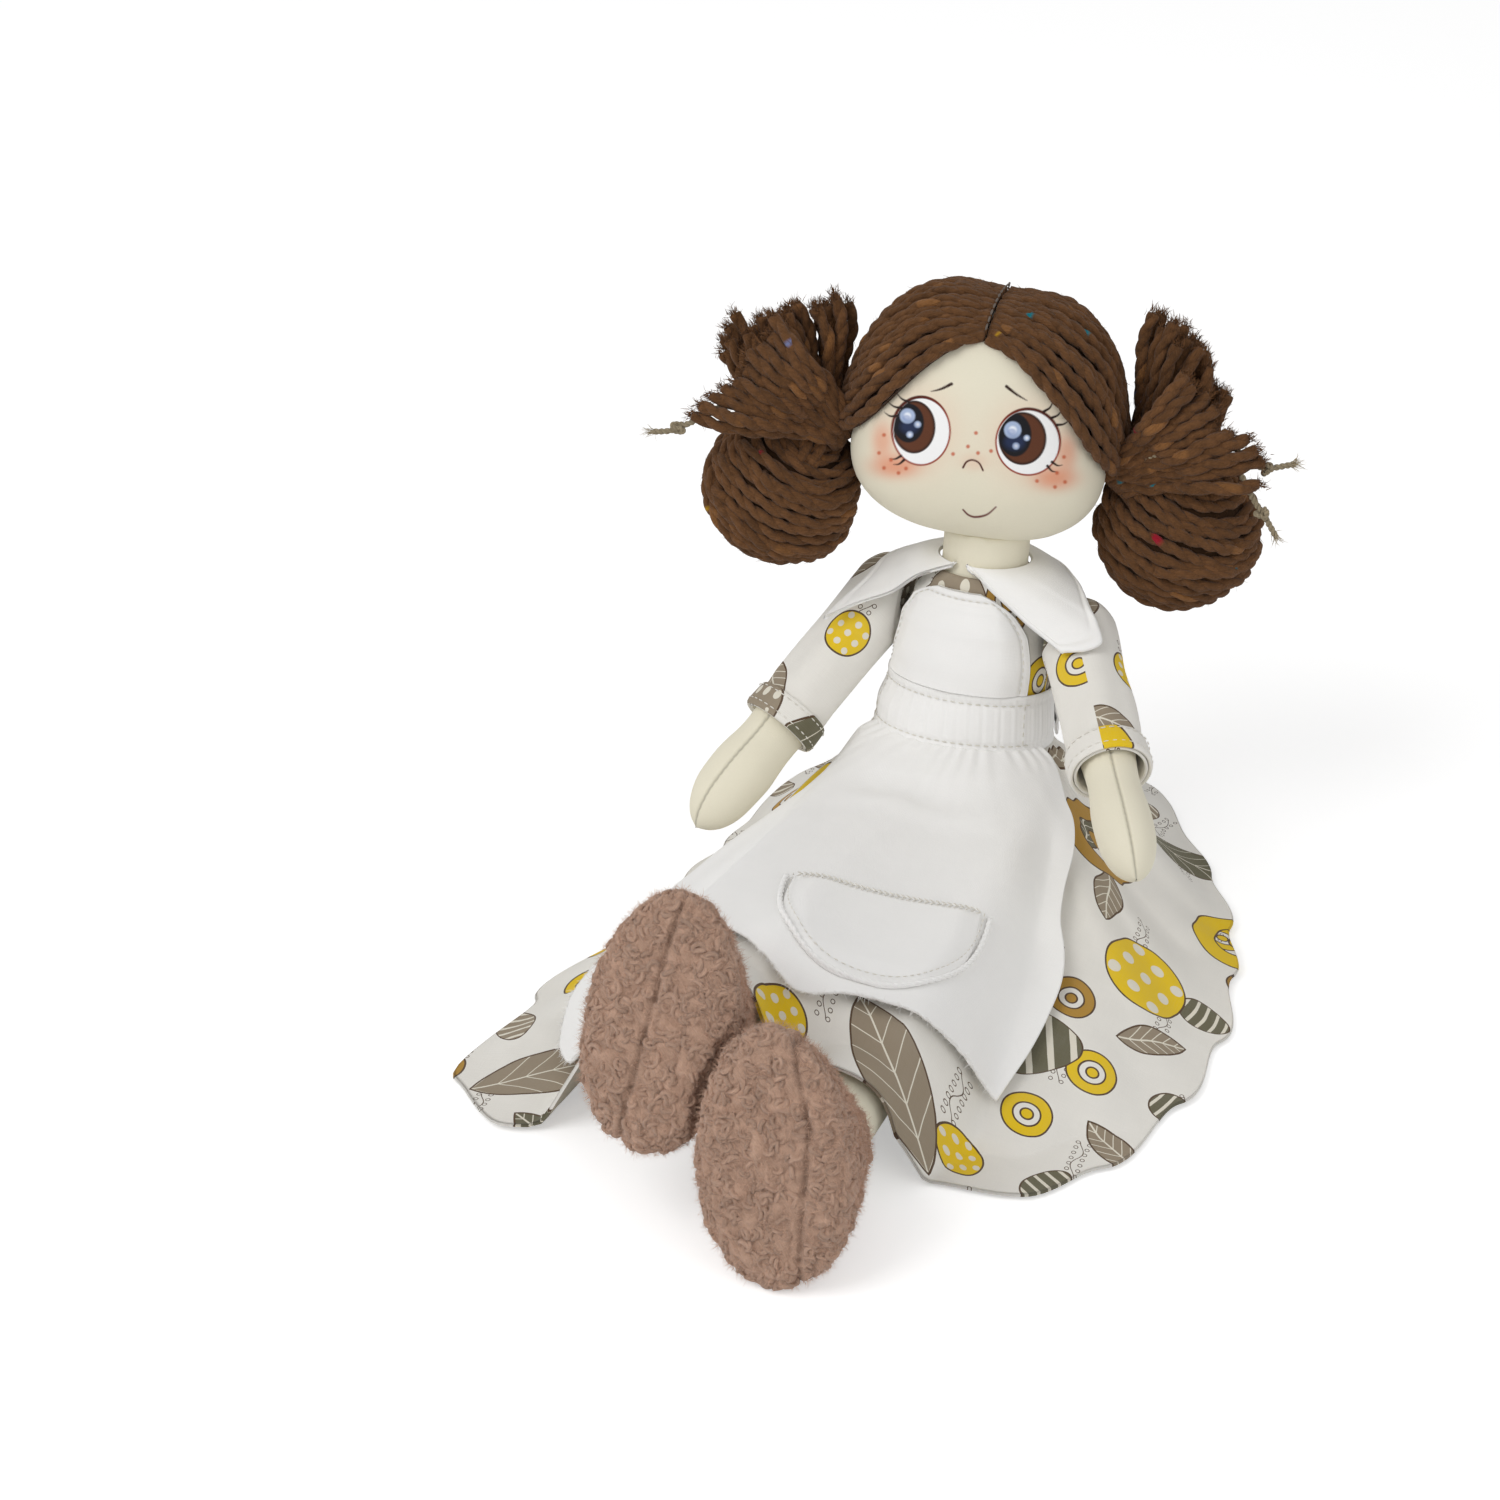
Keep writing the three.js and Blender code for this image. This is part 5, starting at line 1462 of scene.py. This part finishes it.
def make_bib():
    u, v = shares(170, 120)
    flat = bib_point(u, v, 0.0)
    side = np.minimum(u, 1 - u) * BIB_WIDTH
    top = (1 - v) * 27
    edge = np.minimum(side * np.sqrt(1 - (0.97 * v) ** 4) ** 0.5 + 0.001, top + 0.001)
    groove = hump(edge, BIB_INSET, 0.55)
    puff = 0.9 * smoothstep(edge, BIB_INSET, 9.0) + noise(flat, 13.0) * 0.35 + noise(flat, 5.0, 2.0) * 0.1
    points = bib_point(u, v, BODICE_OUT + 0.6 + 1.0 + puff - 0.45 * groove)
    shape = Shape()
    cloth(shape, placed(points, TRUNK), BIB_CLOTH, np.stack([u * 52, v * 30], -1))
    bib = finished(shape.build("bib_cloth", LINEN), "trunk", "white_linen", "apron_bib")
    thread = Shape()
    v_line = np.linspace(0.02, 0.93, 160)
    inset = BIB_INSET / BIB_WIDTH
    out = BODICE_OUT + 1.75
    left = bib_point(inset + 0.03 * v_line ** 6, v_line, out)
    right = bib_point(1 - inset - 0.03 * v_line ** 6, v_line, out)
    top = bib_point(np.linspace(inset + 0.03, 1 - inset - 0.03, 120), 0.93, out)
    line = np.vstack([left, top, right[::-1]])
    stitches(thread, placed(line, TRUNK), *BIB_STITCH)
    finished(thread.build("bib_stitches", THREAD), "trunk", "white_linen")


make_bib()


# Collar leaves in the trunk's axes: the neck end, the front edge out to the corner, and the outer edge
# from that corner round to the back.
COLLARS = {
    "right": {
        "neck": (-104, -266),
        "edge": [(-3.5, -13.8, 83), (-10.8, -15.1, 79), (-16.8, -14.3, 75), (-24.1, -14.8, 68.5),
                 (-32.4, -20.2, 65), (-40, -25.2, 61.5)],
        "outer": [(-40, -25.2, 61.5), (-38, -17.5, 65.5), (-34.5, -10, 71.5), (-33, -3, 76), (-31, 5, 77),
                  (-22, 16, 78.5), (-12, 22, 79.5), (-1.5, 24, 80)],
        "blend": ((-14, -14, 80), (-32, -20, 65)), "flip": False,
    },
    "left": {
        "neck": (-88, 82),
        "edge": [(0.5, -13.8, 83), (5.5, -14.5, 80), (10.4, -15, 76), (20.8, -16.6, 70),
                 (28.5, -18, 67.5), (35.9, -20.3, 66)],
        "outer": [(35.9, -20.3, 66), (42, -18.5, 67.5), (45.7, -14.6, 70), (42.5, -10, 73), (38.3, -6, 75.5),
                  (31, 3.7, 77.5), (26.6, 9, 78), (16.5, 18.5, 79), (2, 24, 80)],
        "blend": ((14, -14, 81), (42, -18, 68)), "flip": True,
    },
}


def make_collar(key, side):
    """A limp leaf of two layers that lies over the shoulder and follows the arm there, with turned edges."""
    leaf = COLLARS[key]
    columns, rows = 200, 60
    u, v = shares(columns, rows)
    turn = np.radians(np.linspace(*leaf["neck"], columns))
    neck = np.stack([COLLAR_INNER * np.cos(turn), COLLAR_INNER * np.sin(turn),
                     np.full(columns, COLLAR_TOP)], -1)
    outer = curve_through(leaf["outer"], columns)
    front = curve_through(leaf["edge"], rows)
    points = neck[:, None] + (outer - neck)[:, None] * v[..., None]
    bend = front - (neck[0] + (outer[0] - neck[0]) * v[0][:, None])
    points = points + bend[None] * ((1 - u) ** 3)[..., None]
    edge = np.minimum(np.minimum(u, 1 - u) * 90, (1 - v) * 24)
    roll = 0.4 * hump(edge, 0.9, 0.8) - 0.3 * hump(edge, 2.4, 0.6)
    ripple = noise(points, 15.0, 2.0 + side) * 0.5 + noise(points, 6.0, side) * 0.15
    points[..., 2] += 1.5 * np.sin(math.pi * v) + roll + ripple * smoothstep(v, 0.1, 0.6)
    shape = Shape()
    cloth(shape, placed(points, TRUNK), COLLAR_CLOTH, np.stack([u * 95, v * 26], -1), flip=leaf["flip"])
    piece = shape.build(f"collar_cloth_{key}", LINEN)
    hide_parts(f"collar_{key}")
    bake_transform(piece)


for key, side in SIDES.items():
    make_collar(key, side)


def make_back_knot():
    knot = soften("apron_knot_cloth", "apron_knot", 0.5, 3, LINEN)[0]
    finished(knot, "trunk", "white_linen", "apron_knot")
    back = float(between(TRUNK_SHARES, WAIST_LOW / NECK_BASE * 1.3, 2)) * CHEST_HALF_DEPTH + BAND_OUT + 0.3
    middle = (WAIST_LOW + WAIST_HIGH) / 2
    for key, side in SIDES.items():
        u, v = shares(40, 80)
        turn = math.pi / 2 - side * (5.3 + v * 20) / back
        height = middle + (u - 0.5) * 9 * (0.55 + 0.45 * v) - v * 9 / 4
        ripple = 0.35 * np.sin(u * 9 + v * 3) + 0.3 * np.sin(v * 11)
        points = on_trunk(turn, height, BAND_OUT + 0.9 + 0.8 + ripple * smoothstep(v, 0, 0.4))
        shape = Shape()
        cloth(shape, placed(points, TRUNK), BAND_END_CLOTH, np.stack([u * 9, v * 20], -1), flip=side < 0)
        end = shape.build(f"apron_end_cloth_{key}", LINEN)
        finished(end, "trunk", "white_linen", f"apron_end_{key}")


make_back_knot()

# Arms
ARM_SHARES = [
    (-0.11, 0), (-0.1, 0.38), (-0.08, 0.72), (-0.045, 0.95), (0, 1), (0.14, 0.98), (0.32, 0.95), (0.5, 0.92),
    (0.64, 0.89), (0.76, 0.98), (0.86, 0.94), (0.93, 0.74), (0.975, 0.42), (1, 0),
]
SLEEVE_SHARES = [(-0.28, 0), (-0.26, 0.4), (-0.2, 0.76), (-0.1, 0.97), (0, 1), (0.3, 0.98), (0.65, 0.95),
                 (1, SLEEVE_END / SLEEVE_RADIUS)]


def arm_matrix(key, side):
    shoulder = Matrix.Translation((side * SHOULDER_SPREAD, 0, SHOULDER_HEIGHT))
    return TRUNK @ shoulder @ between_ways(Vector(ARM_WAY[key]).normalized(), (0, 1, 0))


def kept_outside(points, side):
    """Points in the frame, kept on the arm's own side of the plane where it meets the trunk."""
    local = placed(points, TRUNK.inverted())
    local[..., 0] = side * np.maximum(side * local[..., 0], ARM_SIDE)
    return placed(local, TRUNK)


def round_grid(line, columns):
    """Turn about +Y, place along it and radius over a turned surface; line gives (along, radius) rows."""
    t, k = np.meshgrid(turns_of(columns), np.arange(len(line)), indexing="ij")
    return t, line[k, 0], line[k, 1]


def turned(radius, along, turn, flat=1.0):
    return np.stack([radius * np.cos(turn), along, radius * np.sin(turn) * flat], -1)


ARM_SEAM = {"left": 12, "right": 55}


def make_arm(key, side):
    place = arm_matrix(key, side)
    line = curve_through(np.array(ARM_SHARES) * (ARM_LENGTH, ARM_RADIUS), 230)
    line[:, 1] = np.maximum(line[:, 1], 0)
    t, along, radius = round_grid(line, 200)
    seam = math.radians(ARM_SEAM[key])
    off = np.abs((t - seam + math.pi / 2) % math.pi - math.pi / 2) * radius
    pucker = 0.8 + 0.3 * np.sin(along * 2 * math.pi / 2.4)
    groove = 0.7 * pucker * hump(off, 0, 0.6) * smoothstep(radius, 1, 5)
    radius = radius + (noise(turned(radius, along, t), 11.0, side * 4.0) * 0.35 - groove)
    world = kept_outside(placed(turned(radius, along, t, HAND_FLAT), place), side)
    dark = 1 - 0.42 * hump(off, 0, 0.4)
    tint = (SKIN_COLOUR * dark[..., None]).reshape(-1, 3)
    shape = Shape().grid(world, round_uv(t, along, ARM_RADIUS), wrap=True, tint=tint)
    arm = shape.build(f"arm_cloth_{key}", SKIN, weld=True)
    finished(arm, f"arm_{key}", "skin_cotton", f"arm_{key}")


def make_sleeve(key, side):
    place = arm_matrix(key, side)
    outer = curve_through(np.array(SLEEVE_SHARES) * (SLEEVE_LENGTH, SLEEVE_RADIUS), 150)
    outer[:, 1] = np.maximum(outer[:, 1], 0)
    fold = np.array([(SLEEVE_LENGTH + 0.35, SLEEVE_END - 0.5)])
    inner = outer[::-3] - (0, 1.0)
    line = np.vstack([outer, fold, inner * (0.995, 1)])
    line[:, 1] = np.maximum(line[:, 1], 0)
    t, along, radius = round_grid(line, 260)
    rough = turned(SLEEVE_RADIUS, along, t)
    crease = 0.55 * noise(rough * (1, 0.45, 1), 7.0, side * 3.0) + 0.5 * noise(rough, 15.0, 1.0)
    flow = 0.5 * np.sin(t * 5 + side) * smoothstep(along, 0, 40)
    near_cuff = 1 - smoothstep(along, SLEEVE_LENGTH - CUFF_LENGTH - 6, SLEEVE_LENGTH - CUFF_LENGTH)
    radius = radius + (crease + flow) * near_cuff * smoothstep(radius, 1, 8)
    world = kept_outside(placed(turned(radius, along, t), place), side)
    uv = round_uv(t, along, SLEEVE_RADIUS) + (17 * side, 31)
    sleeve = Shape().grid(world, uv, wrap=True).build(f"sleeve_cloth_{key}", PRINT, weld=True)
    finished(sleeve, f"arm_{key}", "printed_cotton", f"sleeve_{key}")

    low, high = SLEEVE_LENGTH - CUFF_LENGTH, SLEEVE_LENGTH
    inner, outside = SLEEVE_END + 0.3, SLEEVE_END + 0.3 + 1.1
    ring = [(low, inner), (low + 0.1, outside - 0.4), (low + 1.2, outside), (high - 1.2, outside + 0.2),
            (high + 0.2, outside - 0.3), (high + 0.3, inner + 0.3), (high - 1, inner - 0.1), (low, inner)]
    line = curve_through(ring, 60)
    t, along, radius = round_grid(line, 260)
    rough = turned(SLEEVE_RADIUS, along, t)
    radius = radius + 0.22 * noise(rough, 6.0, side * 2.0)
    uv = round_uv(t, along * 0.6 + radius * 0.8, SLEEVE_RADIUS) + (5, 3 + 20 * side)
    shape = Shape().grid(placed(turned(radius, along, t), place), uv, wrap=True)
    cuff = shape.build(f"cuff_cloth_{key}", PRINT, weld=True)
    finished(cuff, f"arm_{key}", "printed_cotton", f"cuff_{key}")
    thread = Shape()
    turn = np.linspace(0, 2 * math.pi, 240)
    for height in (low + 1.3, high - 1.5):
        line = turned(outside + 0.22, np.full(240, height), turn)
        stitches(thread, placed(line, place), *CUFF_STITCH)
    finished(thread.build(f"cuff_stitches_{key}", THREAD), f"arm_{key}", "white_linen")


for key, side in SIDES.items():
    make_arm(key, side)
    make_sleeve(key, side)

# Legs and boots

def boot_matrix(key):
    back, roll = BOOT_TILT[key]
    return Matrix.Translation(BOOT_HEEL[key]) @ turn_matrix("XY", X=-back, Y=roll)


LEG_LINES = {}
for key, side in SIDES.items():
    LEG_LINES[key] = (np.array([side * HIP_SPACING, -LEG_TOP, HIP_HEIGHT]),
                      np.array(boot_matrix(key) @ Vector(ANKLE)))
WOOL_COLOUR = colour(210, 174, 152)
# Where each boot's seam crosses the sole, from its heel up
BOOT_SEAM = {"left": [(0, 6.5), (13.8, 8.3), (46.3, 12.2), (69.8, 7.7), (80, 5)],
             "right": [(0, -6), (12.2, -4.6), (43.2, -2.1), (69.5, -0.2), (80, 0)]}
# How much less the wool stands out on the sides where the boots face each other
BOOT_NEAR = 1.3
BOOT_CURLS = 1700
BOOT_FIBRES = 26000


def make_boot(key, side):
    """Knobbly wool over the stuffed foot: lumps, a sunk seam down the middle, curls and loose fibres."""
    back = boot_matrix(key).inverted()
    rng = np.random.default_rng(71 if side > 0 else 72)
    seam = np.array(BOOT_SEAM[key])

    def aside(local):
        return local[:, 0] - np.interp(local[:, 2], seam[:, 0], seam[:, 1])

    def change(points, normals):
        local = placed(points, back)
        lump = 1.1 * np.abs(noise(points, 3.4)) + 0.55 * np.abs(noise(points, 1.7, 4.0)) - 0.5
        groove = 1.5 * hump(aside(local), 0, 0.8)
        cover = smoothstep(points[:, 2], 0.5, 3.0)
        deep = groove * (local[:, 1] < BOOT_DEPTH * 0.75)
        facing = np.clip(-side * normals[:, 0], 0, 1) * BOOT_NEAR
        moved = points + normals * (0.25 + (lump - deep) * cover - facing)[:, None]
        moved[:, 2] = np.maximum(moved[:, 2], 0.05)
        # The wool's colour: its own random patches, with a painted highlight on the raised lumps and painted
        # shade in the sunk seam
        patch = 0.06 * noise(points, 9.0, 2.0)
        shade = (0.84 + patch + 0.2 * np.clip(lump + 0.5, 0, 1) - 0.22 * np.clip(deep, 0, 1))[:, None]
        return moved, WOOL_COLOUR * shade

    boot, points, normals = soften(f"boot_wool_{key}", f"boot_{key}", 0.75, 3, WOOL, change)
    finished(boot, f"leg_{key}", "boot_wool", f"boot_{key}")

    local = placed(points, back)
    clear = (points[:, 2] > 1.6) & (np.abs(aside(local)) > 1.6)
    chosen = rng.choice(np.flatnonzero(clear), BOOT_CURLS, replace=False)
    root, normal = points[chosen], normals[chosen]
    side_way = unit(np.cross(normal, rng.normal(size=normal.shape)))
    other = np.cross(normal, side_way)
    t = np.linspace(-0.3, 1.3, 9)[None, :, None] * math.pi
    size = rng.uniform(0.9, 1.7, (BOOT_CURLS, 1, 1))
    skew = rng.uniform(-0.9, 0.9, (BOOT_CURLS, 1, 1))
    loops = (root[:, None] + side_way[:, None] * np.cos(t) * size
             + normal[:, None] * (np.sin(t) * size * 0.35 - 0.35) + other[:, None] * np.sin(t) * size * skew)
    shape = Shape()
    shades = WOOL_COLOUR * rng.uniform(0.82, 1.1, (BOOT_CURLS, 1, 1))
    loops[..., 2] = np.maximum(loops[..., 2], 0.9)
    tubes(shape, loops, rng.uniform(0.5, 0.75, (BOOT_CURLS, 1)), sides=6, tint=shades)
    chosen = rng.choice(np.flatnonzero(points[:, 2] > 2.5), BOOT_FIBRES)
    ways = normals[chosen] + rng.normal(size=(BOOT_FIBRES, 3)) * 0.9
    length = rng.uniform(0.7, 2.0, BOOT_FIBRES)
    tint = WOOL_COLOUR * rng.uniform(0.9, 1.25, (BOOT_FIBRES, 1))
    fibres(shape, points[chosen] + normals[chosen] * 0.4, ways, length, 0.1, rng, bend=0.9, tint=tint)
    finished(shape.build(f"boot_curls_{key}", WOOL), f"leg_{key}", "boot_wool")


def make_leg(key):
    leg = soften(f"leg_cloth_{key}", f"leg_{key}", 0.9, 4, SKIN, tint=SKIN_COLOUR)[0]
    finished(leg, f"leg_{key}", "skin_cotton", f"leg_{key}")


for key, side in SIDES.items():
    make_boot(key, side)
    make_leg(key)
band = soften("hip_band_cloth", "hip_band", 0.5, 2, LINEN)[0]
finished(band, "hips", "white_linen", "hip_band")

# Skirt
HEM_SHARES = [
    (-180, 0.43), (-166, 0.46), (-150, 0.54), (-138, 0.66), (-129, 0.92), (-122, 1.16), (-115, 1.19),
    (-108, 1.08), (-99, 0.97), (-91, 0.99), (-84, 1.01), (-77, 1.01), (-68, 1.04), (-60, 0.98),
    (-48, 0.85), (-36, 0.73), (-22, 0.61), (-8, 0.53), (12, 0.46), (32, 0.43), (55, 0.46), (90, 0.47),
    (125, 0.47), (150, 0.44), (180, 0.43),
]
SKIRT_TOP = WAIST_LOW - 0.3
WAIST_MIDDLE = placed((0, 0, SKIRT_TOP), TRUNK)


def slide(away):
    """How far the cloth has fallen at a distance from what holds it up."""
    return CLOTH_FALL * away ** 2 / (away + LEG_RADIUS * 0.6)


def leg_at(y, top, ankle):
    """How far aside and how high a leg's middle line is at a place from back to front."""
    share = np.clip((y - top[1]) / (ankle[1] - top[1]), 0, 1.2)
    return top[0] + (ankle[0] - top[0]) * share, top[2] + (ankle[2] - top[2]) * share


def cover_height(x, y):
    """How high the cloth is held over the legs, and stretched between them, at a place on the floor."""
    height = np.zeros_like(x)
    behind = np.maximum(0, y - CHEST_HALF_DEPTH / 2)
    found = {}
    for key, (top, ankle) in LEG_LINES.items():
        middle, high = leg_at(y, top, ankle)
        crown = high + LEG_RADIUS + LEG_CLEAR
        found[key] = middle, crown
        aside = np.maximum(0, np.abs(x - middle) - LAP_EDGE) + behind
        height = np.maximum(height, crown - slide(aside))
    (right, right_crown), (left, left_crown) = found["right"], found["left"]
    across = np.clip((x - LAP_EDGE - right) / (left - right), 0, 1)
    span = (right_crown + (left_crown - right_crown) * across - SPAN_SAG * np.sin(math.pi * across)
            - slide(behind))
    return np.maximum(height, np.where((across > 0) & (across < 1), span, 0))


def leg_height(x, y):
    """How high the legs themselves reach at a place on the floor, with the cloth's own thickness."""
    height = np.zeros_like(x)
    for top, ankle in LEG_LINES.values():
        middle, high = leg_at(y, top, ankle)
        aside = (x - middle) / (LEG_RADIUS + 2)
        over = high + (LEG_RADIUS + 2) * np.sqrt(np.maximum(0, 1 - aside ** 2))
        height = np.where(np.abs(aside) < 1, np.maximum(height, over), height)
    return height


def hem_fall(degrees, down):
    """How far the hem hangs down between the legs and beside the left one."""
    between_boots = smoothstep(degrees, -100, -92) * (1 - smoothstep(degrees, -66, -54))
    return HEM_FALL * smoothstep(down, 0.86, 1.0) * between_boots


def smooth_max(a, b, width):
    share = np.clip(0.5 + (a - b) / (2 * width), 0, 1)
    return b + (a - b) * share + width * share * (1 - share)


def skirt_point(turn, down, fine=1.0):
    """A place on the skirt: turn about the waist and share of the way down to the hem."""
    turn, down = np.broadcast_arrays(np.asarray(turn, float), np.asarray(down, float))
    degrees = np.degrees(np.arctan2(np.sin(turn), np.cos(turn)))
    hem = between(HEM_SHARES, degrees) * SKIRT_REACH
    own = turn - math.radians(TRUNK_YAW)
    puff = waist_puff(own, np.full_like(own, SKIRT_TOP)) - 0.4
    start = placed(np.stack([(WAIST_HALF_WIDTH + puff) * np.cos(own), (WAIST_HALF_DEPTH + puff) * np.sin(own),
                             np.full_like(own, SKIRT_TOP)], -1), TRUNK)
    x = start[..., 0] + (WAIST_MIDDLE[0] + hem * np.cos(turn) - start[..., 0]) * down
    y = start[..., 1] + (WAIST_MIDDLE[1] + hem * np.sin(turn) - start[..., 1]) * down
    folds = np.sin(8 * turn + 2.2 * down) + 0.5 * np.sin(5 * turn + 1)
    tent = HEM_HEIGHT + (start[..., 2] - HEM_HEIGHT) * (1 - down) ** 1.5
    loose = np.sin(math.pi * np.minimum(1, down * 1.05)) ** 1.5 * FOLD_HEIGHT * 0.5
    free = tent + loose * (1 + folds) * 0.7
    carried = start[..., 2] + (cover_height(x, y) - start[..., 2]) * (1 - (1 - np.minimum(1, down * 4)) ** 2)
    z = np.where(down > 0, smooth_max(free, carried, LAP_WIDTH), start[..., 2])
    if fine:
        flat = np.stack([x, y, np.zeros_like(x)], -1)
        gather = np.sin(46 * turn + 3 * noise(flat, 30.0)) * 0.9 * hump(down, 0.06, 0.11)
        rumple = noise(flat, 21.0, 1.5) * 1.5 + noise(flat, 9.0, 4.0) * 0.5
        calm = 1 - 0.6 * smoothstep(down, 0.8, 1.0)
        z = z + fine * (gather + rumple * smoothstep(down, 0.04, 0.25) * calm)
    z = np.maximum(z - hem_fall(degrees, down), np.minimum(z, leg_height(x, y)))
    return np.stack([x, y, np.maximum(z, HEM_HEIGHT)], -1)


def flat_uv(points, turn):
    """Cloth coordinates: the length down the cloth from the waist, laid out by direction."""
    down = WAIST_HALF_WIDTH + along_of(points)
    return np.stack([down * np.cos(turn), down * np.sin(turn)], -1)


def bent(piece, slot, *nodes):
    """A piece baked into the frame's axes, with the solids it replaces hidden."""
    if nodes:
        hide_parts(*nodes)
    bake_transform(piece)


def make_skirt():
    t, d = np.meshgrid(turns_of(560) - math.pi, np.linspace(0, 1, 150), indexing="ij")
    points = skirt_point(t, d)
    uv = flat_uv(points, t)
    uv = np.append(uv, uv[:1], axis=0)
    shape = Shape()
    # The under side takes the reverse cloth, whose darker ground is painted shade
    cloth(shape, points, SKIRT_CLOTH, uv, wrap=True, flip=True, under_slot=1)
    skirt = shape.build("skirt_cloth", PRINT, PRINT_BACK_SHADED)
    bent(skirt, "printed_cotton", "skirt")


APRON_EDGE_SHARES = [(0, -156, -22), (0.2, -150, -36), (0.45, -138, -56), (0.9, -121, -74)]
APRON_HEM_SHARES = [(0, 0.70), (0.12, 0.83), (0.3, 0.93), (0.6, 0.92), (0.85, 0.84), (1, 0.78)]


def apron_place(a, b):
    """Turn and share down of a place on the apron: a from its right edge to its left, b from waist to hem."""
    down = b * between(APRON_HEM_SHARES, a)
    right = between(APRON_EDGE_SHARES, down, 1)
    left = between(APRON_EDGE_SHARES, down, 2)
    return np.radians(right + (left - right) * a), down


def softened(grid, rounds):
    """A grid with its inner places evened out between their neighbours."""
    for _ in range(rounds):
        grid = grid.copy()
        grid[1:-1] = (grid[:-2] + grid[1:-1] + grid[2:]) / 3
        grid[:, 1:-1] = (grid[:, :-2] + grid[:, 1:-1] + grid[:, 2:]) / 3
    return grid


APRON_FINE = 0.2
APRON_LIFT = 2.0


def make_apron():
    a, b = shares(300, 200)
    turn, down = apron_place(a, b)
    base = softened(skirt_point(turn, down, APRON_FINE), 30)
    normal = normals_of(base)
    normal = unit(softened(normal * np.sign(normal[..., 2:3] + 1e-9), 80))
    gather = np.sin(a * 95 + 2 * np.sin(a * 13)) * 0.2 * hump(b, 0, 0.08)
    deep = smoothstep(b, 0.02, 0.25) * (1 - 0.7 * smoothstep(b, 0.5, 1))
    pleat = 0.35 * np.sin(a * 19 + 1.5 * noise(base, 40.0)) * deep
    swag = 1.3 * hump(b - 0.13, 0.1 * np.sin(math.pi * a), 0.05) * np.sin(math.pi * a) ** 2
    fray = 0.35 * noise(base, 2.2) * (b > 0.985)
    lift = APRON_OVER + APRON_CLOTH + APRON_LIFT * smoothstep(b, 0, 0.1) + gather + pleat + swag
    points = base + normal * lift[..., None]
    points[..., 1] -= fray
    shape = Shape()
    cloth(shape, points, APRON_CLOTH, flat_uv(base, turn), flip=True)
    rng = np.random.default_rng(81)
    count = 1300
    edge = curve_through(points[::4, -1], count)
    way = unit(points[:, -1] - points[:, -8])[np.linspace(0, 299, count).astype(int)]
    fibres(shape, edge, way + rng.normal(size=(count, 3)) * 0.5, rng.uniform(0.6, 2.4, count), 0.13, rng)
    apron = shape.build("apron_cloth", LINEN)
    bent(apron, "white_linen", "apron_skirt")
    return points


POCKET_TURN = math.radians(24)
POCKET_HANG = math.radians(7)


def pocket_place(aside, down):
    """A place on the floor plan under the pocket, which is sewn on askew."""
    x = POCKET_ASIDE + aside * math.cos(POCKET_TURN) + down * math.sin(POCKET_HANG)
    return x, -POCKET_FORWARD + aside * math.sin(POCKET_TURN) - down * math.cos(POCKET_HANG)


def make_pocket(apron_points):
    """A half-round pocket laid on the apron, with a corded seam and an overlocked straight edge."""
    columns, rows = apron_points.shape[:2]
    i, j = np.meshgrid(np.arange(columns - 1), np.arange(rows - 1), indexing="ij")
    here = i * rows + j
    faces = np.stack([here, here + rows, here + rows + 1, here + 1], -1).reshape(-1, 4)
    tree = BVHTree.FromPolygons(apron_points.reshape(-1, 3).tolist(), faces.tolist())

    def laid(x, y, more):
        shape = np.shape(x)
        out = np.empty((*shape, 3))
        for index in np.ndindex(shape):
            hit, normal, _, _ = tree.ray_cast(Vector((x[index], y[index], 200)), Vector((0, 0, -1)))
            if hit is None:
                hit, normal, _, _ = tree.find_nearest(Vector((x[index], y[index], 40)))
            normal = normal if normal.z > 0 else -normal
            out[index] = np.array(hit) + np.array(normal) * (more[index] if np.ndim(more) else more)
        return out

    u, v = np.meshgrid(np.linspace(-1, 1, 90), np.linspace(0, 1, 60), indexing="ij")
    half = POCKET_HALF_WIDTH * (1 - 0.10 * (1 - v))
    x, y = pocket_place(u * half * np.sqrt(np.maximum(1 - (0.985 * v) ** 2.4, 0)), v * POCKET_DEPTH)
    inside = np.minimum(1 - np.abs(u), 1 - v) * 24
    puff = 0.9 + 1.0 * smoothstep(inside, 0.5, 6) + 0.3 * hump(v, 0, 0.03)
    shape = Shape()
    cloth(shape, laid(x, y, puff), POCKET_CLOTH, np.stack([u * 30, v * 42], -1), flip=True)
    turn = np.linspace(0, math.pi, 160)
    across = np.cos(turn)
    ring_aside = -np.sign(across) * POCKET_HALF_WIDTH * np.abs(across) ** 0.9 * 0.985
    ring_down = np.sin(turn) ** 0.9 * POCKET_DEPTH * 0.99
    cord = curve_through(laid(*pocket_place(ring_aside, ring_down), 1.0), 300)
    seam_cord = Shape()
    tubes(seam_cord, plied(cord[None], 0.25, 5.0), 0.62, sides=8)
    pocket = shape.build("pocket_cloth", LINEN)
    bent(seam_cord.build("pocket_seam", LINEN), "white_linen")
    bent(pocket, "white_linen", "apron_pocket")
    thread = Shape()
    top_aside = np.linspace(-POCKET_HALF_WIDTH * 0.88, POCKET_HALF_WIDTH * 0.88, 160)
    for offset, slant in ((0.8, 0.9), (1.9, -0.9)):
        line = laid(*pocket_place(top_aside, np.full(160, offset)), 2.3)
        stitches(thread, line, *OVERLOCK_STITCH, slant=slant, normal=(0, 0, 1))
    inner = curve_through(laid(*pocket_place(ring_aside * 0.93, ring_down * 0.94), 2.0), 300)
    stitches(thread, inner, *BIB_STITCH)
    bent(thread.build("pocket_stitches", THREAD), "white_linen")


make_skirt()
make_pocket(make_apron())


def dress(node, material):
    """A carried-over solid keeps its shape and gets a finer material."""
    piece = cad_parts[node]
    if not piece.material_slots:
        piece.data.materials.append(material)
    for place in piece.material_slots:
        place.material = material


dress("neck_stick", WOOD)
dress("shoulder_thread", TWINE)
